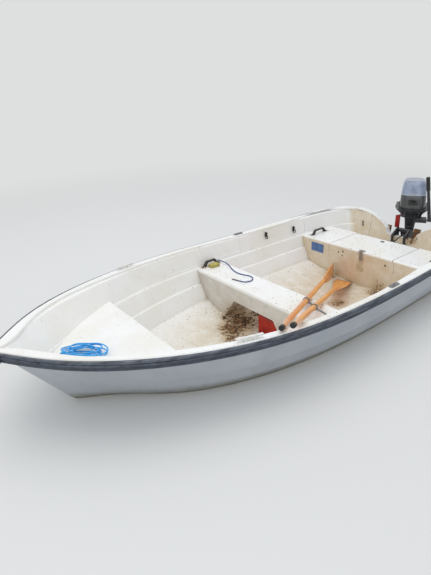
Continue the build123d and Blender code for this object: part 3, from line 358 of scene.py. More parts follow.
# Lines and tubes
def route_points(name, route, pieces=24):
    """A cord's smooth line: the points of the NURBS spline that has the route as its control points."""
    data = bpy.data.curves.new(name + "_line", "CURVE")
    data.dimensions = "3D"
    spline = data.splines.new("NURBS")
    spline.points.add(len(route) - 1)
    for point, place in zip(spline.points, route):
        point.co = (*place, 1)
    spline.order_u = 3
    spline.use_endpoint_u = True
    spline.resolution_u = pieces
    guide = bpy.data.objects.new(name + "_line", data)
    mesh = bpy.data.meshes.new_from_object(guide)
    points = [v.co.copy() for v in mesh.vertices]
    bpy.data.objects.remove(guide)
    bpy.data.curves.remove(data)
    bpy.data.meshes.remove(mesh)
    return points


def spread(points, step):
    """The same line with its points a step apart."""
    found, left = [points[0]], step
    for a, b in zip(points, points[1:]):
        run, here = (b - a).length, 0.0
        while run - here >= left:
            here += left
            found.append(a.lerp(b, here / run))
            left = step
        left -= run - here
    found[-1] = points[-1]
    return found


def run_length(points):
    return sum((b - a).length for a, b in zip(points, points[1:]))


UV_UNITS = 100          # a tube's UV map is in centimetres along it


def tube(name, points, profile, around):
    """A closed tube along points. profile(run, turn) gives its radius, and length and turn its UV map."""
    builder = bmesh.new()
    layer = builder.loops.layers.uv.new("UVMap")
    side, run, rows, runs = None, 0.0, [], []
    turns = [math.tau * k / around for k in range(around)]
    for i, point in enumerate(points):
        ahead = (points[min(i + 1, len(points) - 1)] - points[max(i - 1, 0)]).normalized()
        side = (side - ahead * side.dot(ahead)).normalized() if side else ahead.orthogonal().normalized()
        other = ahead.cross(side)
        if i:
            run += (point - points[i - 1]).length
        rows.append([builder.verts.new(
            point + (side * math.cos(turn) + other * math.sin(turn)) * profile(run, turn)) for turn in turns])
        runs.append(run)
    for i in range(len(rows) - 1):
        for k in range(around):
            m = (k + 1) % around
            face = builder.faces.new((rows[i][k], rows[i][m], rows[i + 1][m], rows[i + 1][k]))
            face.smooth = True
            corners = ((runs[i], k), (runs[i], k + 1), (runs[i + 1], k + 1), (runs[i + 1], k))
            for loop, (at, turn) in zip(face.loops, corners):
                loop[layer].uv = (at * UV_UNITS, turn / around)
    builder.faces.new(reversed(rows[0]))
    builder.faces.new(rows[-1])
    return finished(name, builder)


def twisted(radius, lay, strands=3, depth=0.2):
    """Profile of a laid rope: round strands that go once round it in a lay length."""
    roundness = 0.7

    def profile(run, turn):
        lobe = abs(math.cos(strands / 2 * (turn - math.tau * run / lay)))
        return radius * (1 - depth + depth * lobe ** roundness)

    return profile


def braided(radius, pitch, around, relief=0.06):
    """Profile of a braid: rows of small bumps that cross each other."""
    def profile(run, turn):
        along = math.pi * run / pitch
        bumps = math.sin(along + around * turn) * math.sin(along - around * turn)
        return radius * (1 - relief + relief * bumps)

    return profile


# Cords. The routes of the lanyard and the hose are the ones in the part's source.
LANYARD = 0.008
LANYARD_ROUTE = [boat(*point) for point in (
    (1792, -652.5, 238), (1776, -632, 234), (1757, -603, 224), (1750, -566, 215), (1760, -527, 212.4),
    (1781, -484, 212.4), (1800, -438, 212.4), (1813, -388, 212.4), (1815, -338, 212.4), (1803, -292, 212.4),
    (1786, -252, 212.4), (1786, -214, 212.4), (1808, -182, 212.4), (1844, -165, 212.4), (1880, -174, 212.4),
    (1901, -204, 212.4), (1909, -240, 212.4))]
LANYARD_STEP = 0.0011   # between the points of its tube
LANYARD_PITCH = 0.0045  # of its braid
LANYARD_BUMPS = 4       # waves of the braid around it
HOSE = 0.011
HOSE_ROUTE = [boat(*point) for point in (
    (112, 46, 205), (142, 46, 205), (172, 38, 190), (196, 22, 164), (212, -2, 134), (224, -28, 108),
    (248, -50, 92), (287.7, -50, 92))]
HOSE_STEP = 0.003
ROPE = 0.008
ROPE_STEP = 0.0028
ROPE_LAY = 0.024
CORD_SIDES = 20
ROPE_SIDES = 18

# The rope's loose skein. A wave is its size, its rate a loop and its phase.
PILE_AT = Vector((STERN_X + 3.272, 0.03, BOW_SEAT_TOP))
PILE_TURN = math.radians(-41)
PILE_LOOPS = 8.4
POINTS_A_LOOP = 26
LOOP_HALF_LENGTH = 0.104
LOOP_HALF_WIDTH = 0.051
LENGTH_WAVE = (0.026, 1.9, 0.4)
WIDTH_WAVE = (0.007, 2.7, 1.1)
TURN_WAVE = (math.radians(10), 1.3, 2.0)
ALONG_WAVE = (0.026, 1.2, 1.2)
ACROSS_WAVE = (0.015, 2.1, 0.7)
RIPPLE = 0.002
REST_GAP = 0.0006       # between the seat and the lowest loops
CROSSING = ROPE * 1.16  # between the middles of strands that cross
FINE = 4                # parts of each stretch that the settling looks at
SWEEPS = 6
REACH = 4               # neighbours each way that ease a height


def wave(shape, t):
    size, rate, phase = shape
    return size * math.sin(rate * t + phase)


def pile_loops():
    """The skein seen from above: long loops of unequal size, each shifted and turned a little."""
    flat = []
    for i in range(round(PILE_LOOPS * POINTS_A_LOOP)):
        t = i / POINTS_A_LOOP
        angle = math.tau * t
        long = LOOP_HALF_LENGTH + wave(LENGTH_WAVE, t)
        wide = LOOP_HALF_WIDTH + wave(WIDTH_WAVE, t)
        turn = PILE_TURN + wave(TURN_WAVE, t)
        x = long * math.cos(angle) + wave(ALONG_WAVE, t)
        y = wide * math.sin(angle) + wave(ACROSS_WAVE, t) + RIPPLE * math.sin(3 * angle + t)
        flat.append(Vector((PILE_AT.x + x * math.cos(turn) - y * math.sin(turn),
                            PILE_AT.y + x * math.sin(turn) + y * math.cos(turn))))
    return flat


def neighbours(values):
    """For each value, it and those within reach of it."""
    return [values[max(0, i - REACH):i + REACH + 1] for i in range(len(values))]


def pile_route():
    """The skein's control points, with each loop laid on those below it."""
    flat = pile_loops()
    line = [a.lerp(b, k / FINE) for a, b in zip(flat, flat[1:]) for k in range(FINE)] + [flat[-1]]
    heights = [PILE_AT.z + ROPE / 2 + REST_GAP] * len(line)
    skip = POINTS_A_LOOP * FINE // 4
    for sweep in range(SWEEPS):
        needed = list(heights)
        for i, here in enumerate(line):
            for k in range(0, i - skip):
                gap = (here - line[k]).length
                if gap < CROSSING:
                    needed[i] = max(needed[i], heights[k] + math.sqrt(CROSSING * CROSSING - gap * gap))
        raised = [max(near) for near in neighbours(needed)]
        heights = [sum(near) / len(near) for near in neighbours(raised)]
    return [Vector((*point, heights[i * FINE])) for i, point in enumerate(flat)]


def lanyard_braid():
    made = Finish("lanyard_braid", rough=0.85, coordinates="UV")
    weave = made.calc("SINE", made.times(made.axis("X"), 28))
    speck = made.noise(60, at=made.scaled((1, 3, 1)))
    mottle = made.plus(speck, made.times(weave, 0.12))
    made.paint(made.blend(mottle, 0.3, 0.7, tone(22, 42, 92), tone(66, 98, 160)))
    return made.material


def hose_rubber():
    made = Finish("hose_rubber", rough=0.45)
    made.paint(made.blend(made.noise(90), 0.4, 0.75, tone(20, 20, 21), tone(74, 70, 64)))
    made.bump(made.noise(400), 0.0003)
    return made.material


def rope_strands():
    made = Finish("rope_strands", rough=0.42, coordinates="UV")
    fibre = made.noise(24, detail=3, at=made.scaled((0.6, 14, 1)))
    patch = made.noise(0.35, detail=2)
    fresh = made.blend(fibre, 0.35, 0.7, tone(0, 132, 224), tone(96, 214, 255))
    made.paint(made.blend(patch, 0.5, 0.8, fresh, tone(20, 160, 240)))
    made.bump(fibre, 0.0004)
    return made.material


def make_cords():
    points = spread(route_points("thwart_lanyard", LANYARD_ROUTE), LANYARD_STEP)
    mesh = tube("lanyard_cord", points, braided(LANYARD / 2, LANYARD_PITCH, LANYARD_BUMPS), CORD_SIDES)
    cord = place_mesh("lanyard_cord", mesh, lanyard_braid(), "root", "lanyard_blue", "thwart_lanyard")

    points = spread(route_points("fuel_hose", HOSE_ROUTE), HOSE_STEP)
    mesh = tube("fuel_line", points, lambda run, turn: HOSE / 2, CORD_SIDES)
    hose = place_mesh("fuel_line", mesh, hose_rubber(), "root", "hose_black", "fuel_hose")

    points = spread(route_points("bow_rope", pile_route(), 8), ROPE_STEP)
    mesh = tube("rope_skein", points, twisted(ROPE / 2, ROPE_LAY), ROPE_SIDES)
    rope = place_mesh("rope_skein", mesh, rope_strands(), "root", "rope_blue", "bow_rope")


make_cords()


# Finishes. Spans are in metres where they are of a height, a distance or a place along the boat.
HEAPS = (               # place as boat() takes it, then inner and outer reach in metres
    (1930, -190, -104, 0.02, 0.24), (2055, -150, -104, 0.01, 0.2), (1740, -180, -104, 0.0, 0.15),
    (2060, 60, -104, 0.0, 0.2), (1925, -539, -90, 0.0, 0.035), (1930, -675, -60, 0.0, 0.03),
    (2140, -60, -104, 0.0, 0.12), (2007, -303, -100, 0.0, 0.07), (769, 229, -100, -0.02, 0.15),
    (749, -272, -100, -0.02, 0.1), (1130, 110, -100, -0.05, 0.16), (40, 120, 168, 0.0, 0.1))
HANDLE_Y = 0.664        # middle of the thwart's handles
STERN_HANDLE_Y = 0.592
HANDLE_FEET = [Vector(foot) for foot in (
    (STERN_X + 1.773, HANDLE_Y, THWART_TOP), (STERN_X + 1.932, HANDLE_Y, THWART_TOP),
    (STERN_X + 0.453, STERN_HANDLE_Y, SEAT_TOP), (STERN_X + 0.647, STERN_HANDLE_Y, SEAT_TOP))]
HASP_FOOT = Vector((SEAT_FACE, 0.018, 0.095))
PANEL_JOINT_Y = 0.336   # joint in the stern seat's face, on each side
SOIL_DARK = tone(40, 28, 18)
SOIL_LIGHT = tone(140, 100, 58)
RUST = tone(148, 96, 48)


def soil_heaps(made):
    """1 in the middle of each heap of soil, fading to 0 around it."""
    return made.most(*(made.near(boat(x, y, z), inner, outer) for x, y, z, inner, outer in HEAPS))


def stain_and_shade_on_faces(made, blotches):
    """Tan stain with painted shade on the stern seat's and the transom's forward faces, up to below their upper
    edges.
    """
    rise_at_transom = made.span(made.axis("X"), -1.45, -1.6, 0.0, 0.16)
    level = made.calc("SUBTRACT", made.axis("Z"), rise_at_transom)
    face = made.times(made.span(level, 0.19, 0.17), made.span(made.facing("X"), 0.6, 0.95))
    return made.times(face, made.span(blotches, 0.2, 0.7, 0.5, 0.95))


def rust_stains(made, blotches):
    """Rust around the handles' feet on both sides, and running down from the hasp."""
    x, y, z = made.parts(made.place)
    both_sides = made.combined(x, made.calc("ABSOLUTE", y), z)
    feet = (made.near(foot, 0.012, 0.06, both_sides) for foot in HANDLE_FEET)
    drawn_out = made.scaled((1, 1, 0.35), (0, 0, 0.045))
    hasp = made.near(HASP_FOOT, 0.012, 0.045, drawn_out)
    return made.times(made.most(*feet, hasp), made.span(blotches, 0.35, 0.7, 0.15, 0.9))


def fallen_flecks(made, along):
    """Small leaf and seed flecks, mostly aft and on faces that look up."""
    flecks = made.most(made.span(made.cells(30), 0.17, 0.11), made.span(made.cells(85), 0.2, 0.12))
    sparse = made.times(made.span(made.noise(6.5), 0.4, 0.55), made.span(along, 1.2, 0.2, 0.15, 1.0))
    return made.times(flecks, sparse, made.span(made.facing("Z"), 0.3, 0.9, 0.1, 1.0))


def panel_joints(made, along, height, face):
    """Thin dark joints in the stern seat's face."""
    away = made.calc("SUBTRACT", made.calc("ABSOLUTE", made.axis("Y")), PANEL_JOINT_Y)
    line = made.span(made.calc("ABSOLUTE", away), 0.0022, 0.001)
    return made.times(line, made.span(height, 0.07, 0.08), face, made.span(along, -1.0, -1.1))


def inner_gelcoat():
    """White mouldings, stained aft and low down, with a tan stain and painted shade on the forward faces aft,
    brown grime with painted shade in corners, and soil where water has left it.
    """
    made = Finish("gelcoat_inner", rough=0.36)
    along = made.axis("X")
    height = made.axis("Z")
    cloud = made.noise(2.2, detail=5, rough=0.65, distortion=0.4)
    blotches = made.noise(9, detail=6, rough=0.7)
    fine = made.noise(70, detail=3)
    made.paint(made.blend(cloud, 0.35, 0.72, tone(248, 248, 247), tone(241, 239, 231)))

    low = made.times(made.span(height, 0.0, -0.13), made.span(blotches, 0.25, 0.62, 0.35, 0.95))
    made.cover(made.times(low, made.span(along, 1.35, 0.2)), tone(216, 203, 178))
    face = stain_and_shade_on_faces(made, blotches)
    # Tan stain and painted shade on the forward faces, browner aft.
    made.cover(face, made.blend(along, -1.0, 0.0, tone(212, 193, 162), tone(196, 188, 176)))
    # Brown grime and painted shade in corners and grooves, patchy and stronger aft.
    corner_grime_and_shade = made.times(made.crease(0.07, 0.7, 0.25), made.span(blotches, 0.3, 0.65, 0.1, 0.7))
    corner_grime_and_shade = made.times(corner_grime_and_shade, made.span(along, 1.5, 0.5, 0.25, 1.0))
    made.cover(corner_grime_and_shade, tone(164, 140, 104))

    heaps = soil_heaps(made)
    grit = made.plus(made.noise(38, detail=8, rough=0.75), made.times(heaps, 0.26))
    crumbs = made.span(grit, 0.62, 0.74)
    made.cover(made.times(made.span(heaps, 0.0, 0.7), 0.6), tone(186, 152, 102))
    made.cover(crumbs, made.blend(fine, 0.42, 0.6, SOIL_DARK, SOIL_LIGHT))
    made.cover(fallen_flecks(made, along), tone(112, 80, 48))
    made.cover(rust_stains(made, blotches), RUST)
    made.cover(panel_joints(made, along, height, face), tone(92, 76, 56))
    made.join("Roughness", made.span(made.most(crumbs, corner_grime_and_shade), 0.0, 1.0, 0.34, 0.85))
    made.bump(made.plus(crumbs, made.times(fine, 0.05)), 0.0016)
    return made.material


def outer_gelcoat():
    """Hull gelcoat painted grey for the shade it lies in, streaked, with painted shade at the laps and a weedy
    band at the water.
    """
    made = Finish("gelcoat_outer", rough=0.4)
    streaks = made.noise(7, detail=5, at=made.scaled((2.4, 2.4, 0.35)))
    # Painted shade: the white gelcoat's base tones are darkened to the grey it shows in shade.
    made.paint(made.blend(made.noise(1.8), 0.35, 0.7, tone(182, 187, 193), tone(168, 174, 181)))
    made.cover(made.times(made.span(streaks, 0.5, 0.78), 0.3), tone(158, 158, 152))
    # Painted shade in the laps between the strakes and in other grooves.
    made.cover(made.crease(0.02, 0.9, 0.5), tone(96, 100, 104))
    wet = made.plus(made.axis("Z"), made.times(streaks, 0.07))
    made.cover(made.times(made.span(wet, 0.13, 0.03), 0.75), tone(120, 116, 92))
    made.cover(made.times(made.span(wet, 0.035, -0.03), 0.8), tone(70, 76, 52))
    scuffs = made.span(made.noise(24, at=made.scaled((0.4, 1, 3))), 0.68, 0.74)
    made.cover(made.times(scuffs, 0.35), tone(120, 122, 122))
    made.join("Roughness", made.span(wet, 0.0, 0.14, 0.8, 0.36))
    made.bump(made.noise(55, detail=3), 0.0004)
    return made.material


def rail_rubber():
    """Dark blue-grey rubber with a painted highlight on its upward faces and painted shade in its grooves, rubbed
    pale in places.
    """
    made = Finish("rail_rubber", rough=0.62)
    grain = made.noise(30, detail=6, at=made.scaled((0.35, 1, 2)))
    made.paint(made.blend(grain, 0.3, 0.7, tone(48, 54, 66), tone(74, 82, 96)))
    # Painted highlight: the upward faces are made paler, as where the sky lights them.
    top_tint = made.span(made.facing("Z"), 0.1, 0.9, 0.0, 0.55)
    made.cover(made.times(top_tint, made.span(grain, 0.25, 0.7)), tone(128, 134, 142))
    # Painted shade, nearly black, in the rail's grooves.
    made.cover(made.crease(0.012, 0.85, 0.5), tone(28, 31, 37))
    rubs = made.span(made.noise(12, detail=8, rough=0.8), 0.66, 0.72)
    made.cover(made.times(rubs, 0.5), tone(150, 152, 154))
    made.bump(grain, 0.0008)
    return made.material


def plain_finish(name, dark, light, rough, scale, worn=None, bump=0.0003, metal=0.0, top_tint=0.0):
    """Two mottled tones, with worn patches, a dusty tint on upper faces and a fine relief."""
    made = Finish(name, rough=rough, Metallic=metal)
    grain = made.noise(scale, detail=6)
    made.paint(made.blend(grain, 0.32, 0.7, tone(*dark), tone(*light)))
    if worn:
        chips = made.noise(scale * 0.6, detail=8, rough=0.8)
        made.cover(made.span(chips, 0.6, 0.68), tone(*worn))
    if top_tint:
        settled = made.times(made.span(made.facing("Z"), 0.2, 0.95), made.span(grain, 0.3, 0.7, 0.3, 1))
        made.cover(made.times(settled, top_tint), tone(150, 146, 136))
    made.join("Roughness", made.span(grain, 0.3, 0.7, rough - 0.08, rough + 0.14))
    made.bump(made.noise(scale * 3), bump)
    return made.material


def oar_wood(name, tip, end, up):
    """Varnished pine with its grain along one oar, which lies from tip to end with one flat side up."""
    made = Finish(name, rough=0.3, Coat_Weight=0.35, Coat_Roughness=0.2)
    length = (end - tip).length
    along = (end - tip).normalized()
    flat = (up - along * up.dot(along)).normalized()
    away = made.vector("SUBTRACT", made.place, tip)
    run, side, out = (made.vector("DOT_PRODUCT", away, axis, "Value")
                      for axis in (along, flat, along.cross(flat)))
    local = made.combined(run, side, out)
    stretched = made.scaled((0.9, 14, 14), at=local)
    grain = made.noise(7, detail=7, rough=0.6, at=stretched, distortion=0.5)
    rings = made.node("ShaderNodeTexWave", {
        "Vector": stretched, "Scale": 0.55, "Distortion": 5, "Detail": 3, "Detail Scale": 1.2},
        bands_direction="Z").outputs[1]
    made.paint(made.blend(grain, 0.3, 0.72, tone(255, 184, 84), tone(238, 146, 48)))
    made.cover(made.times(made.span(rings, 0.55, 0.95), 0.4), tone(190, 102, 38))
    worn = made.plus(run, made.times(grain, 0.05))
    made.cover(made.times(made.span(worn, length - 0.13, length - 0.1), 0.6), tone(222, 172, 138))
    made.cover(made.times(made.span(worn, 0.14, 0.03), 0.7), tone(150, 128, 104))
    stain = made.span(made.noise(11, detail=7, rough=0.75, at=local), 0.62, 0.72)
    made.cover(made.times(stain, 0.55), tone(112, 66, 28))
    made.bump(grain, 0.0004)
    return made.material


HOOD_BREAK = 0.556      # height above which the hood has its painted sky reflection


def hood_finish():
    """Glossy hood, dark grey, with a painted pale blue-grey sky reflection on its upper slope above the break and
    a painted highlight along the break.
    """
    made = Finish("cowl_grey", rough=0.24, Coat_Weight=0.6, Coat_Roughness=0.12)
    grain = made.noise(16, detail=6)
    above = made.calc("SUBTRACT", made.axis("Z"), HOOD_BREAK)
    # Painted reflection of the sky on the sloping upper part.
    sky_reflection = made.blend(grain, 0.3, 0.7, tone(116, 128, 150), tone(146, 158, 182))
    low = made.blend(grain, 0.3, 0.7, tone(50, 52, 54), tone(72, 74, 76))
    made.paint(made.blend(above, -0.003, 0.003, low, sky_reflection))
    # Painted highlight: a pale line along the break.
    edge = made.times(made.span(above, -0.007, -0.004), made.span(above, 0.004, 0.001))
    made.cover(made.times(edge, 0.7), tone(186, 196, 210))
    marks = made.span(made.noise(60, detail=8, rough=0.8), 0.66, 0.72)
    made.cover(made.times(marks, 0.5), tone(170, 172, 172))
    made.join("Roughness", made.span(grain, 0.3, 0.7, 0.2, 0.36))
    made.bump(made.noise(120), 0.0002)
    return made.material


OARS = (                # node, tip of the blade, end of the shaft, and the way the blade's flat side faces
    ("oar_starboard", boat(728, -254.7, -51.5), boat(2442, 742, 418.8), Vector((-0.522, 0.853, 0))),
    ("oar_port", boat(732, -118, -121), boat(2444, 823, 469.2), Vector((0, 0.103, 1))))
DARK = plain_finish("black_plastic", (19, 19, 21), (42, 42, 44), 0.5, 46, top_tint=0.35)
STEEL = plain_finish("galvanised", (112, 115, 118), (158, 160, 162), 0.5, 60, worn=(120, 82, 54), metal=0.6)
RED = plain_finish("tank_red", (150, 24, 14), (186, 40, 24), 0.38, 14, worn=(104, 22, 14), top_tint=0.2)
BLUE_PLATE = plain_finish("plate_blue", (66, 96, 150), (92, 124, 176), 0.42, 30, worn=(120, 140, 170))
HOLE = plain_finish("hole_dark", (16, 14, 12), (34, 28, 22), 0.8, 80)
SLOTS = {
    "gelcoat_outer": outer_gelcoat(),
    "gelcoat_inner": inner_gelcoat(),
    "rail_rubber": rail_rubber(),
    "cowl_grey": hood_finish(),
    "black_plastic": DARK,
    "galvanised": STEEL,
    "tank_red": RED,
    "motor_black": plain_finish(
        "motor_black", (30, 32, 36), (50, 53, 58), 0.42, 34, worn=(84, 86, 88), top_tint=0.3),
    "cleat_white": plain_finish(
        "cleat_white", (222, 222, 216), (238, 238, 234), 0.4, 40, worn=(190, 184, 170)),
    "pad_wood": plain_finish(
        "pad_wood", (84, 56, 34), (136, 98, 62), 0.75, 22, worn=(66, 46, 30), bump=0.001)}


def dress_nodes():
    for part in frame["record"]["subparts"]:
        if part["material_slot"] in SLOTS:
            dress(SLOTS[part["material_slot"]], part["node"])
    for node, tip, end, up in OARS:
        dress(oar_wood(node + "_wood", tip, end, up), node)
    dress(plain_finish("rusted_steel", (118, 108, 98), (168, 160, 150), 0.62, 70, worn=(132, 76, 40),
                       metal=0.35, bump=0.0006), "lid_hasp")
    dress(plain_finish("vent_stained", (186, 166, 134), (214, 200, 172), 0.6, 60, worn=(140, 84, 42),
                       bump=0.0006), "locker_vent")


dress_nodes()


# Sponge
SPONGE_CORE = 0.72      # half of the flat part, as a share of the half size
SPONGE_FLAT = 0.94      # lowest level of the underside, as the same share
SPONGE_CUTS = 11
LUMP_SIZE = 0.05
LUMP_RATE = 2.3         # lumps in half a side
LUMP_SHIFT = 0.2        # draws the faces in a little
SPONGE_FIT = 0.98       # keeps it inside its solid


def sponge_foam():
    made = Finish("sponge_foam", rough=0.95)
    # The pores are painted darker, as the shade inside them.
    pores = made.span(made.cells(260), 0.15, 0.45)
    foam = made.blend(made.noise(30), 0.3, 0.7, tone(168, 152, 74), tone(208, 194, 118))
    made.paint(made.mix(pores, tone(92, 80, 38), foam))
    made.bump(pores, 0.0012)
    return made.material


def make_sponge():
    """A soft, slightly lumpy block with rounded edges and a flat underside."""
    low, high = (Vector(corner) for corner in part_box("sponge"))
    middle, half = (low + high) / 2, (high - low) / 2
    builder = bmesh.new()
    bmesh.ops.create_cube(builder, size=2)
    bmesh.ops.subdivide_edges(builder, edges=builder.edges, cuts=SPONGE_CUTS, use_grid_fill=True)
    for v in builder.verts:
        core = Vector([max(-SPONGE_CORE, min(SPONGE_CORE, c)) for c in v.co])
        away = v.co - core
        if away.length:
            v.co = core + away.normalized() * (1 - SPONGE_CORE)
        v.co += v.co.normalized() * LUMP_SIZE * (noise.noise(v.co * LUMP_RATE) - LUMP_SHIFT)
        lift = max(v.co.z, -SPONGE_FLAT)
        v.co = Vector((v.co.x * half.x, v.co.y * half.y, lift * half.z)) * SPONGE_FIT + middle
    mesh = finished("wash_sponge", builder, outward=False)
    mesh.polygons.foreach_set("use_smooth", [True] * len(mesh.polygons))
    place_mesh("wash_sponge", mesh, sponge_foam(), "root", "sponge", "sponge")


make_sponge()


# Fittings
def rounded_box(builder, centre, size, radius, turn=None):
    """A box with rounded edges, added to a mesh under construction."""
    made = bmesh.ops.create_cube(builder, size=1)["verts"]
    matrix = Matrix.Translation(centre) @ (turn or Matrix.Identity(4)) @ Matrix.Diagonal((*size, 1))
    bmesh.ops.transform(builder, matrix=matrix, verts=made)
    edges = list({edge for v in made for edge in v.link_edges})
    bmesh.ops.bevel(builder, geom=edges, offset=radius, segments=3, profile=0.6, affect="EDGES")


SCREW_RINGS = ((1.0, -0.25), (1.0, 0.08), (0.82, 0.3), (0.5, 0.42), (0.14, 0.3))    # in radii: out and up
SCREW_AROUND = 20
CROSS_DEPTH = 0.2       # in radii


def screw(builder, at, normal, radius):
    """A domed screw head with a shallow cross pressed into it."""
    turn = Vector(normal).normalized().to_track_quat("Z", "Y").to_matrix()
    rows = []
    for out, up in SCREW_RINGS:
        row = []
        for k in range(SCREW_AROUND):
            angle = math.tau * k / SCREW_AROUND
            in_cross = out < 1 and k % (SCREW_AROUND // 4) == 0
            lift = up - CROSS_DEPTH if in_cross else up
            corner = Vector((out * math.cos(angle), out * math.sin(angle), lift)) * radius
            row.append(builder.verts.new(Vector(at) + turn @ corner))
        rows.append(row)
    for a, b in zip(rows, rows[1:]):
        for k in range(SCREW_AROUND):
            m = (k + 1) % SCREW_AROUND
            builder.faces.new((a[k], a[m], b[m], b[k]))
    builder.faces.new(rows[-1])
    builder.faces.new(list(reversed(rows[0])))


def fitted(name, fill, material, body, slot):
    """One smooth piece whose mesh a function fills."""
    builder = bmesh.new()
    fill(builder)
    smooth(place_mesh(name, finished(name, builder), material, body, slot))


ROD_STEP = 0.0015
ROD_SIDES = 16
ROD_TIP = 0.12          # radius of the flat at the tip, as a share of the rod's


def bent_rod(name, route, radius, taper):
    """A round rod bent along a smooth line, thinner towards its end, with a rounded tip."""
    points = spread(route_points(name, route), ROD_STEP)
    total = run_length(points)

    def profile(run, turn):
        past = max(0.0, (run - total + radius) / radius)
        tip = math.sqrt(max(0.0, 1 - past ** 2))
        return radius * (1 - (1 - taper) * run / total) * max(tip, ROD_TIP)

    return tube(name, points, profile, ROD_SIDES)


def joined(name, meshes, material, body, slot, *replaced):
    """One piece made of several meshes."""
    builder = bmesh.new()
    for mesh in meshes:
        builder.from_mesh(mesh)
        bpy.data.meshes.remove(mesh)
    return place_mesh(name, finished(name, builder, outward=False), material, body, slot, *replaced)


# Blank plate, rivets and drain plugs on the stern seat's forward face
PLATE_Y, PLATE_Z = -0.473, 0.1125
PLATE_SIZE = (0.0022, 0.146, 0.085)
PLATE_EDGE = 0.0008
PLATE_STAND = 0.0016    # of the plate's middle, off the seat
RIVET_Y, RIVET_Z = 0.067, 0.0345        # from the plate's middle
RIVET_STAND = 0.0028
RIVET_RADIUS = 0.0034
HASP_RIVETS = ((-0.012, 0.1745), (0.038, 0.1745))
HASP_STAND = 0.0078
HASP_RIVET_RADIUS = 0.003
PLUG_STAND = 0.0005
PLUGS = (               # place across and up, and radius
    (-0.226, 0.127, 0.007), (-0.177, 0.144, 0.007), (-0.184, 0.104, 0.006), (0.257, 0.129, 0.008))
FORWARD = Vector((1, 0, 0))
PORT = Vector((0, 1, 0))
UP = Vector((0, 0, 1))


def seat_fittings():
    def plate(builder):
        rounded_box(builder, (SEAT_FACE + PLATE_STAND, PLATE_Y, PLATE_Z), PLATE_SIZE, PLATE_EDGE)

    def rivets(builder):
        for y in (PLATE_Y - RIVET_Y, PLATE_Y + RIVET_Y):
            for z in (PLATE_Z - RIVET_Z, PLATE_Z + RIVET_Z):
                screw(builder, (SEAT_FACE + RIVET_STAND, y, z), FORWARD, RIVET_RADIUS)
        for y, z in HASP_RIVETS:
            screw(builder, (SEAT_FACE + HASP_STAND, y, z), FORWARD, HASP_RIVET_RADIUS)

    def plugs(builder):
        for y, z, radius in PLUGS:
            screw(builder, (SEAT_FACE + PLUG_STAND, y, z), FORWARD, radius)

    fitted("seat_plate", plate, BLUE_PLATE, "root", "gelcoat_outer")
    fitted("seat_rivets", rivets, STEEL, "root", "galvanised")
    fitted("seat_plugs", plugs, HOLE, "root", "black_plastic")


FOOT_THICK = 0.0052     # of a handle's foot
SOCKET_SCREW_X = 0.012  # from the ends of the oarlock sockets' plates
SOCKET_SCREW_Y = 0.015  # from their outer edge
SCREW_SINK = 0.0005
SCREW_RADIUS = 0.0042


def fitting_screws():
    def screws(builder):
        low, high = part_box("oarlock_sockets")
        sockets = [(x, high[1] - SOCKET_SCREW_Y, high[2] - SCREW_SINK)
                   for x in (low[0] + SOCKET_SCREW_X, high[0] - SOCKET_SCREW_X)]
        feet = [foot + UP * FOOT_THICK for foot in HANDLE_FEET]
        for x, y, z in feet + sockets:
            for side in (1, -1):
                screw(builder, (x, side * y, z), UP, SCREW_RADIUS)

    fitted("fitting_screws", screws, STEEL, "root", "galvanised")


# Line clips. Their rods' routes are in millimetres, out from what carries them and up.
SIDE_CLIPS = (boat(1155, -720.1, 288), boat(800, -704.2, 266))
CLIP_PLATE = (0.022, 0.006, 0.05)
CLIP_PLATE_EDGE = 0.0025
CLIP_PLATE_AT = (3.2, 6)
CLIP_SCREW_AT = (6.4, 22)
CLIP_SCREW_RADIUS = 0.0045
CLIP_RODS = (           # name, route and radius
    ("clip_hook", ((5, 4), (17, 3), (26, -6), (27, -18), (22, -29), (12, -33), (4, -28), (3, -20)), 0.0042),
    ("clip_peg", ((5, 10), (14, 12), (21, 17), (24, 25)), 0.004))
CLIP_TAPER = 0.8        # thickness of a rod's end, as a share of its start's
TRANSOM_CLIPS = ((-430, 232), (-424, 205))
LINE_CLIP = (           # out, across and up
    (1, -9, -9), (5, 2, -10), (6, 10, -2), (6, 8, 7), (5, 0, 9), (2, -9, 8))
LINE_CLIP_RADIUS = 0.0032
LINE_CLIP_TAPER = 0.9


def out_and_up(middle, place):
    """A point beside a clip's middle, to port and up in millimetres."""
    out, up = place
    return middle + (PORT * out + UP * up) / 1000


def side_clips():
    """Two line clips on the starboard side, each a screwed plate with a hook and a peg."""
    meshes = []
    for middle in SIDE_CLIPS:
        builder = bmesh.new()
        rounded_box(builder, out_and_up(middle, CLIP_PLATE_AT), CLIP_PLATE, CLIP_PLATE_EDGE)
        screw(builder, out_and_up(middle, CLIP_SCREW_AT), PORT, CLIP_SCREW_RADIUS)
        meshes.append(finished("clip_plate", builder))
        for name, route, radius in CLIP_RODS:
            meshes.append(bent_rod(name, [out_and_up(middle, place) for place in route], radius, CLIP_TAPER))
    joined("side_clips", meshes, DARK, "root", "black_plastic", "side_hooks")


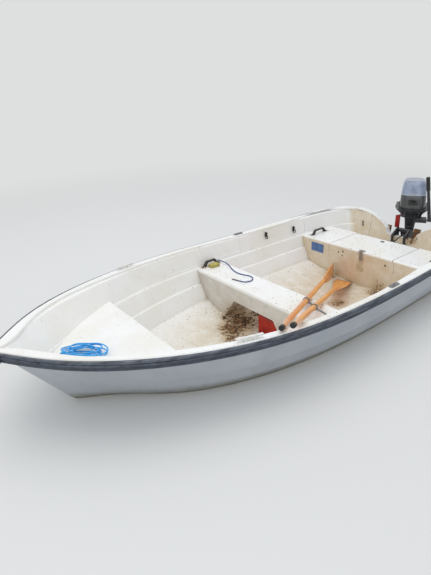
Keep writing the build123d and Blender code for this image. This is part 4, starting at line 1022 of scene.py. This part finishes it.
def surface(node, origin, direction):
    """Where a ray first meets a CAD node, and the normal there."""
    tree = BVHTree.FromObject(NODES[node], bpy.context.evaluated_depsgraph_get())
    at, normal, _, _ = tree.ray_cast(origin, direction)
    return at, normal


def transom_clips():
    """Two small dark line clips on the transom's inner face."""
    meshes = []
    for y, z in TRANSOM_CLIPS:
        at, normal = surface("transom_board", boat(500, y, z), -FORWARD)
        up = normal.cross(PORT).normalized()
        route = [at + (normal * a + PORT * b + up * c) / 1000 for a, b, c in LINE_CLIP]
        meshes.append(bent_rod("line_clip", route, LINE_CLIP_RADIUS, LINE_CLIP_TAPER))
    joined("transom_clips", meshes, DARK, "root", "black_plastic")


seat_fittings()
fitting_screws()
side_clips()
transom_clips()


# Motor. Places are in millimetres in its own frame, which is turned about the steering axis at rest.
STEERING_X = next(joint["pos_m"][0] for joint in frame["joints"] if joint["name"] == "steering")
MOTOR_TURN = Matrix.Rotation(math.radians(30), 4, "Z")
MOTOR_LATCH = ((-268, 0, 414), (0.018, 0.05, 0.03), 0.004)      # place, size and rounding of a box
SIDE_LATCHES = [((-100, side * 146, 410), (0.07, 0.008, 0.014), 0.003) for side in (1, -1)]
TAG = ((-60, -114, 270), (0.01, 0.044, 0.124), 0.004)
TAG_TIE = ((-60, -98, 330), (0.016, 0.03, 0.012), 0.003)
TRAY_BOLT_Y = 62
TRAY_BOLTS = ((44, 362), (52, 388))     # out and up
BOLT_RADIUS = 0.005


def motor(x, y, z):
    return Vector((STEERING_X, 0, 0)) + MOTOR_TURN @ (Vector((x, y, z)) / 1000)


def motor_details():
    def boxes(*shapes):
        def fill(builder):
            for place, size, radius in shapes:
                rounded_box(builder, motor(*place), size, radius, MOTOR_TURN)

        return fill

    def bolts(builder):
        for side in (-1, 1):
            for out, up in TRAY_BOLTS:
                screw(builder, motor(out, side * TRAY_BOLT_Y, up), MOTOR_TURN @ FORWARD, BOLT_RADIUS)

    fitted("cowl_latches", boxes(MOTOR_LATCH, *SIDE_LATCHES), DARK, "motor", "black_plastic")
    fitted("tray_bolts", bolts, STEEL, "motor", "galvanised")
    fitted("stop_tag", boxes(TAG, TAG_TIE), RED, "motor", "tank_red")


motor_details()
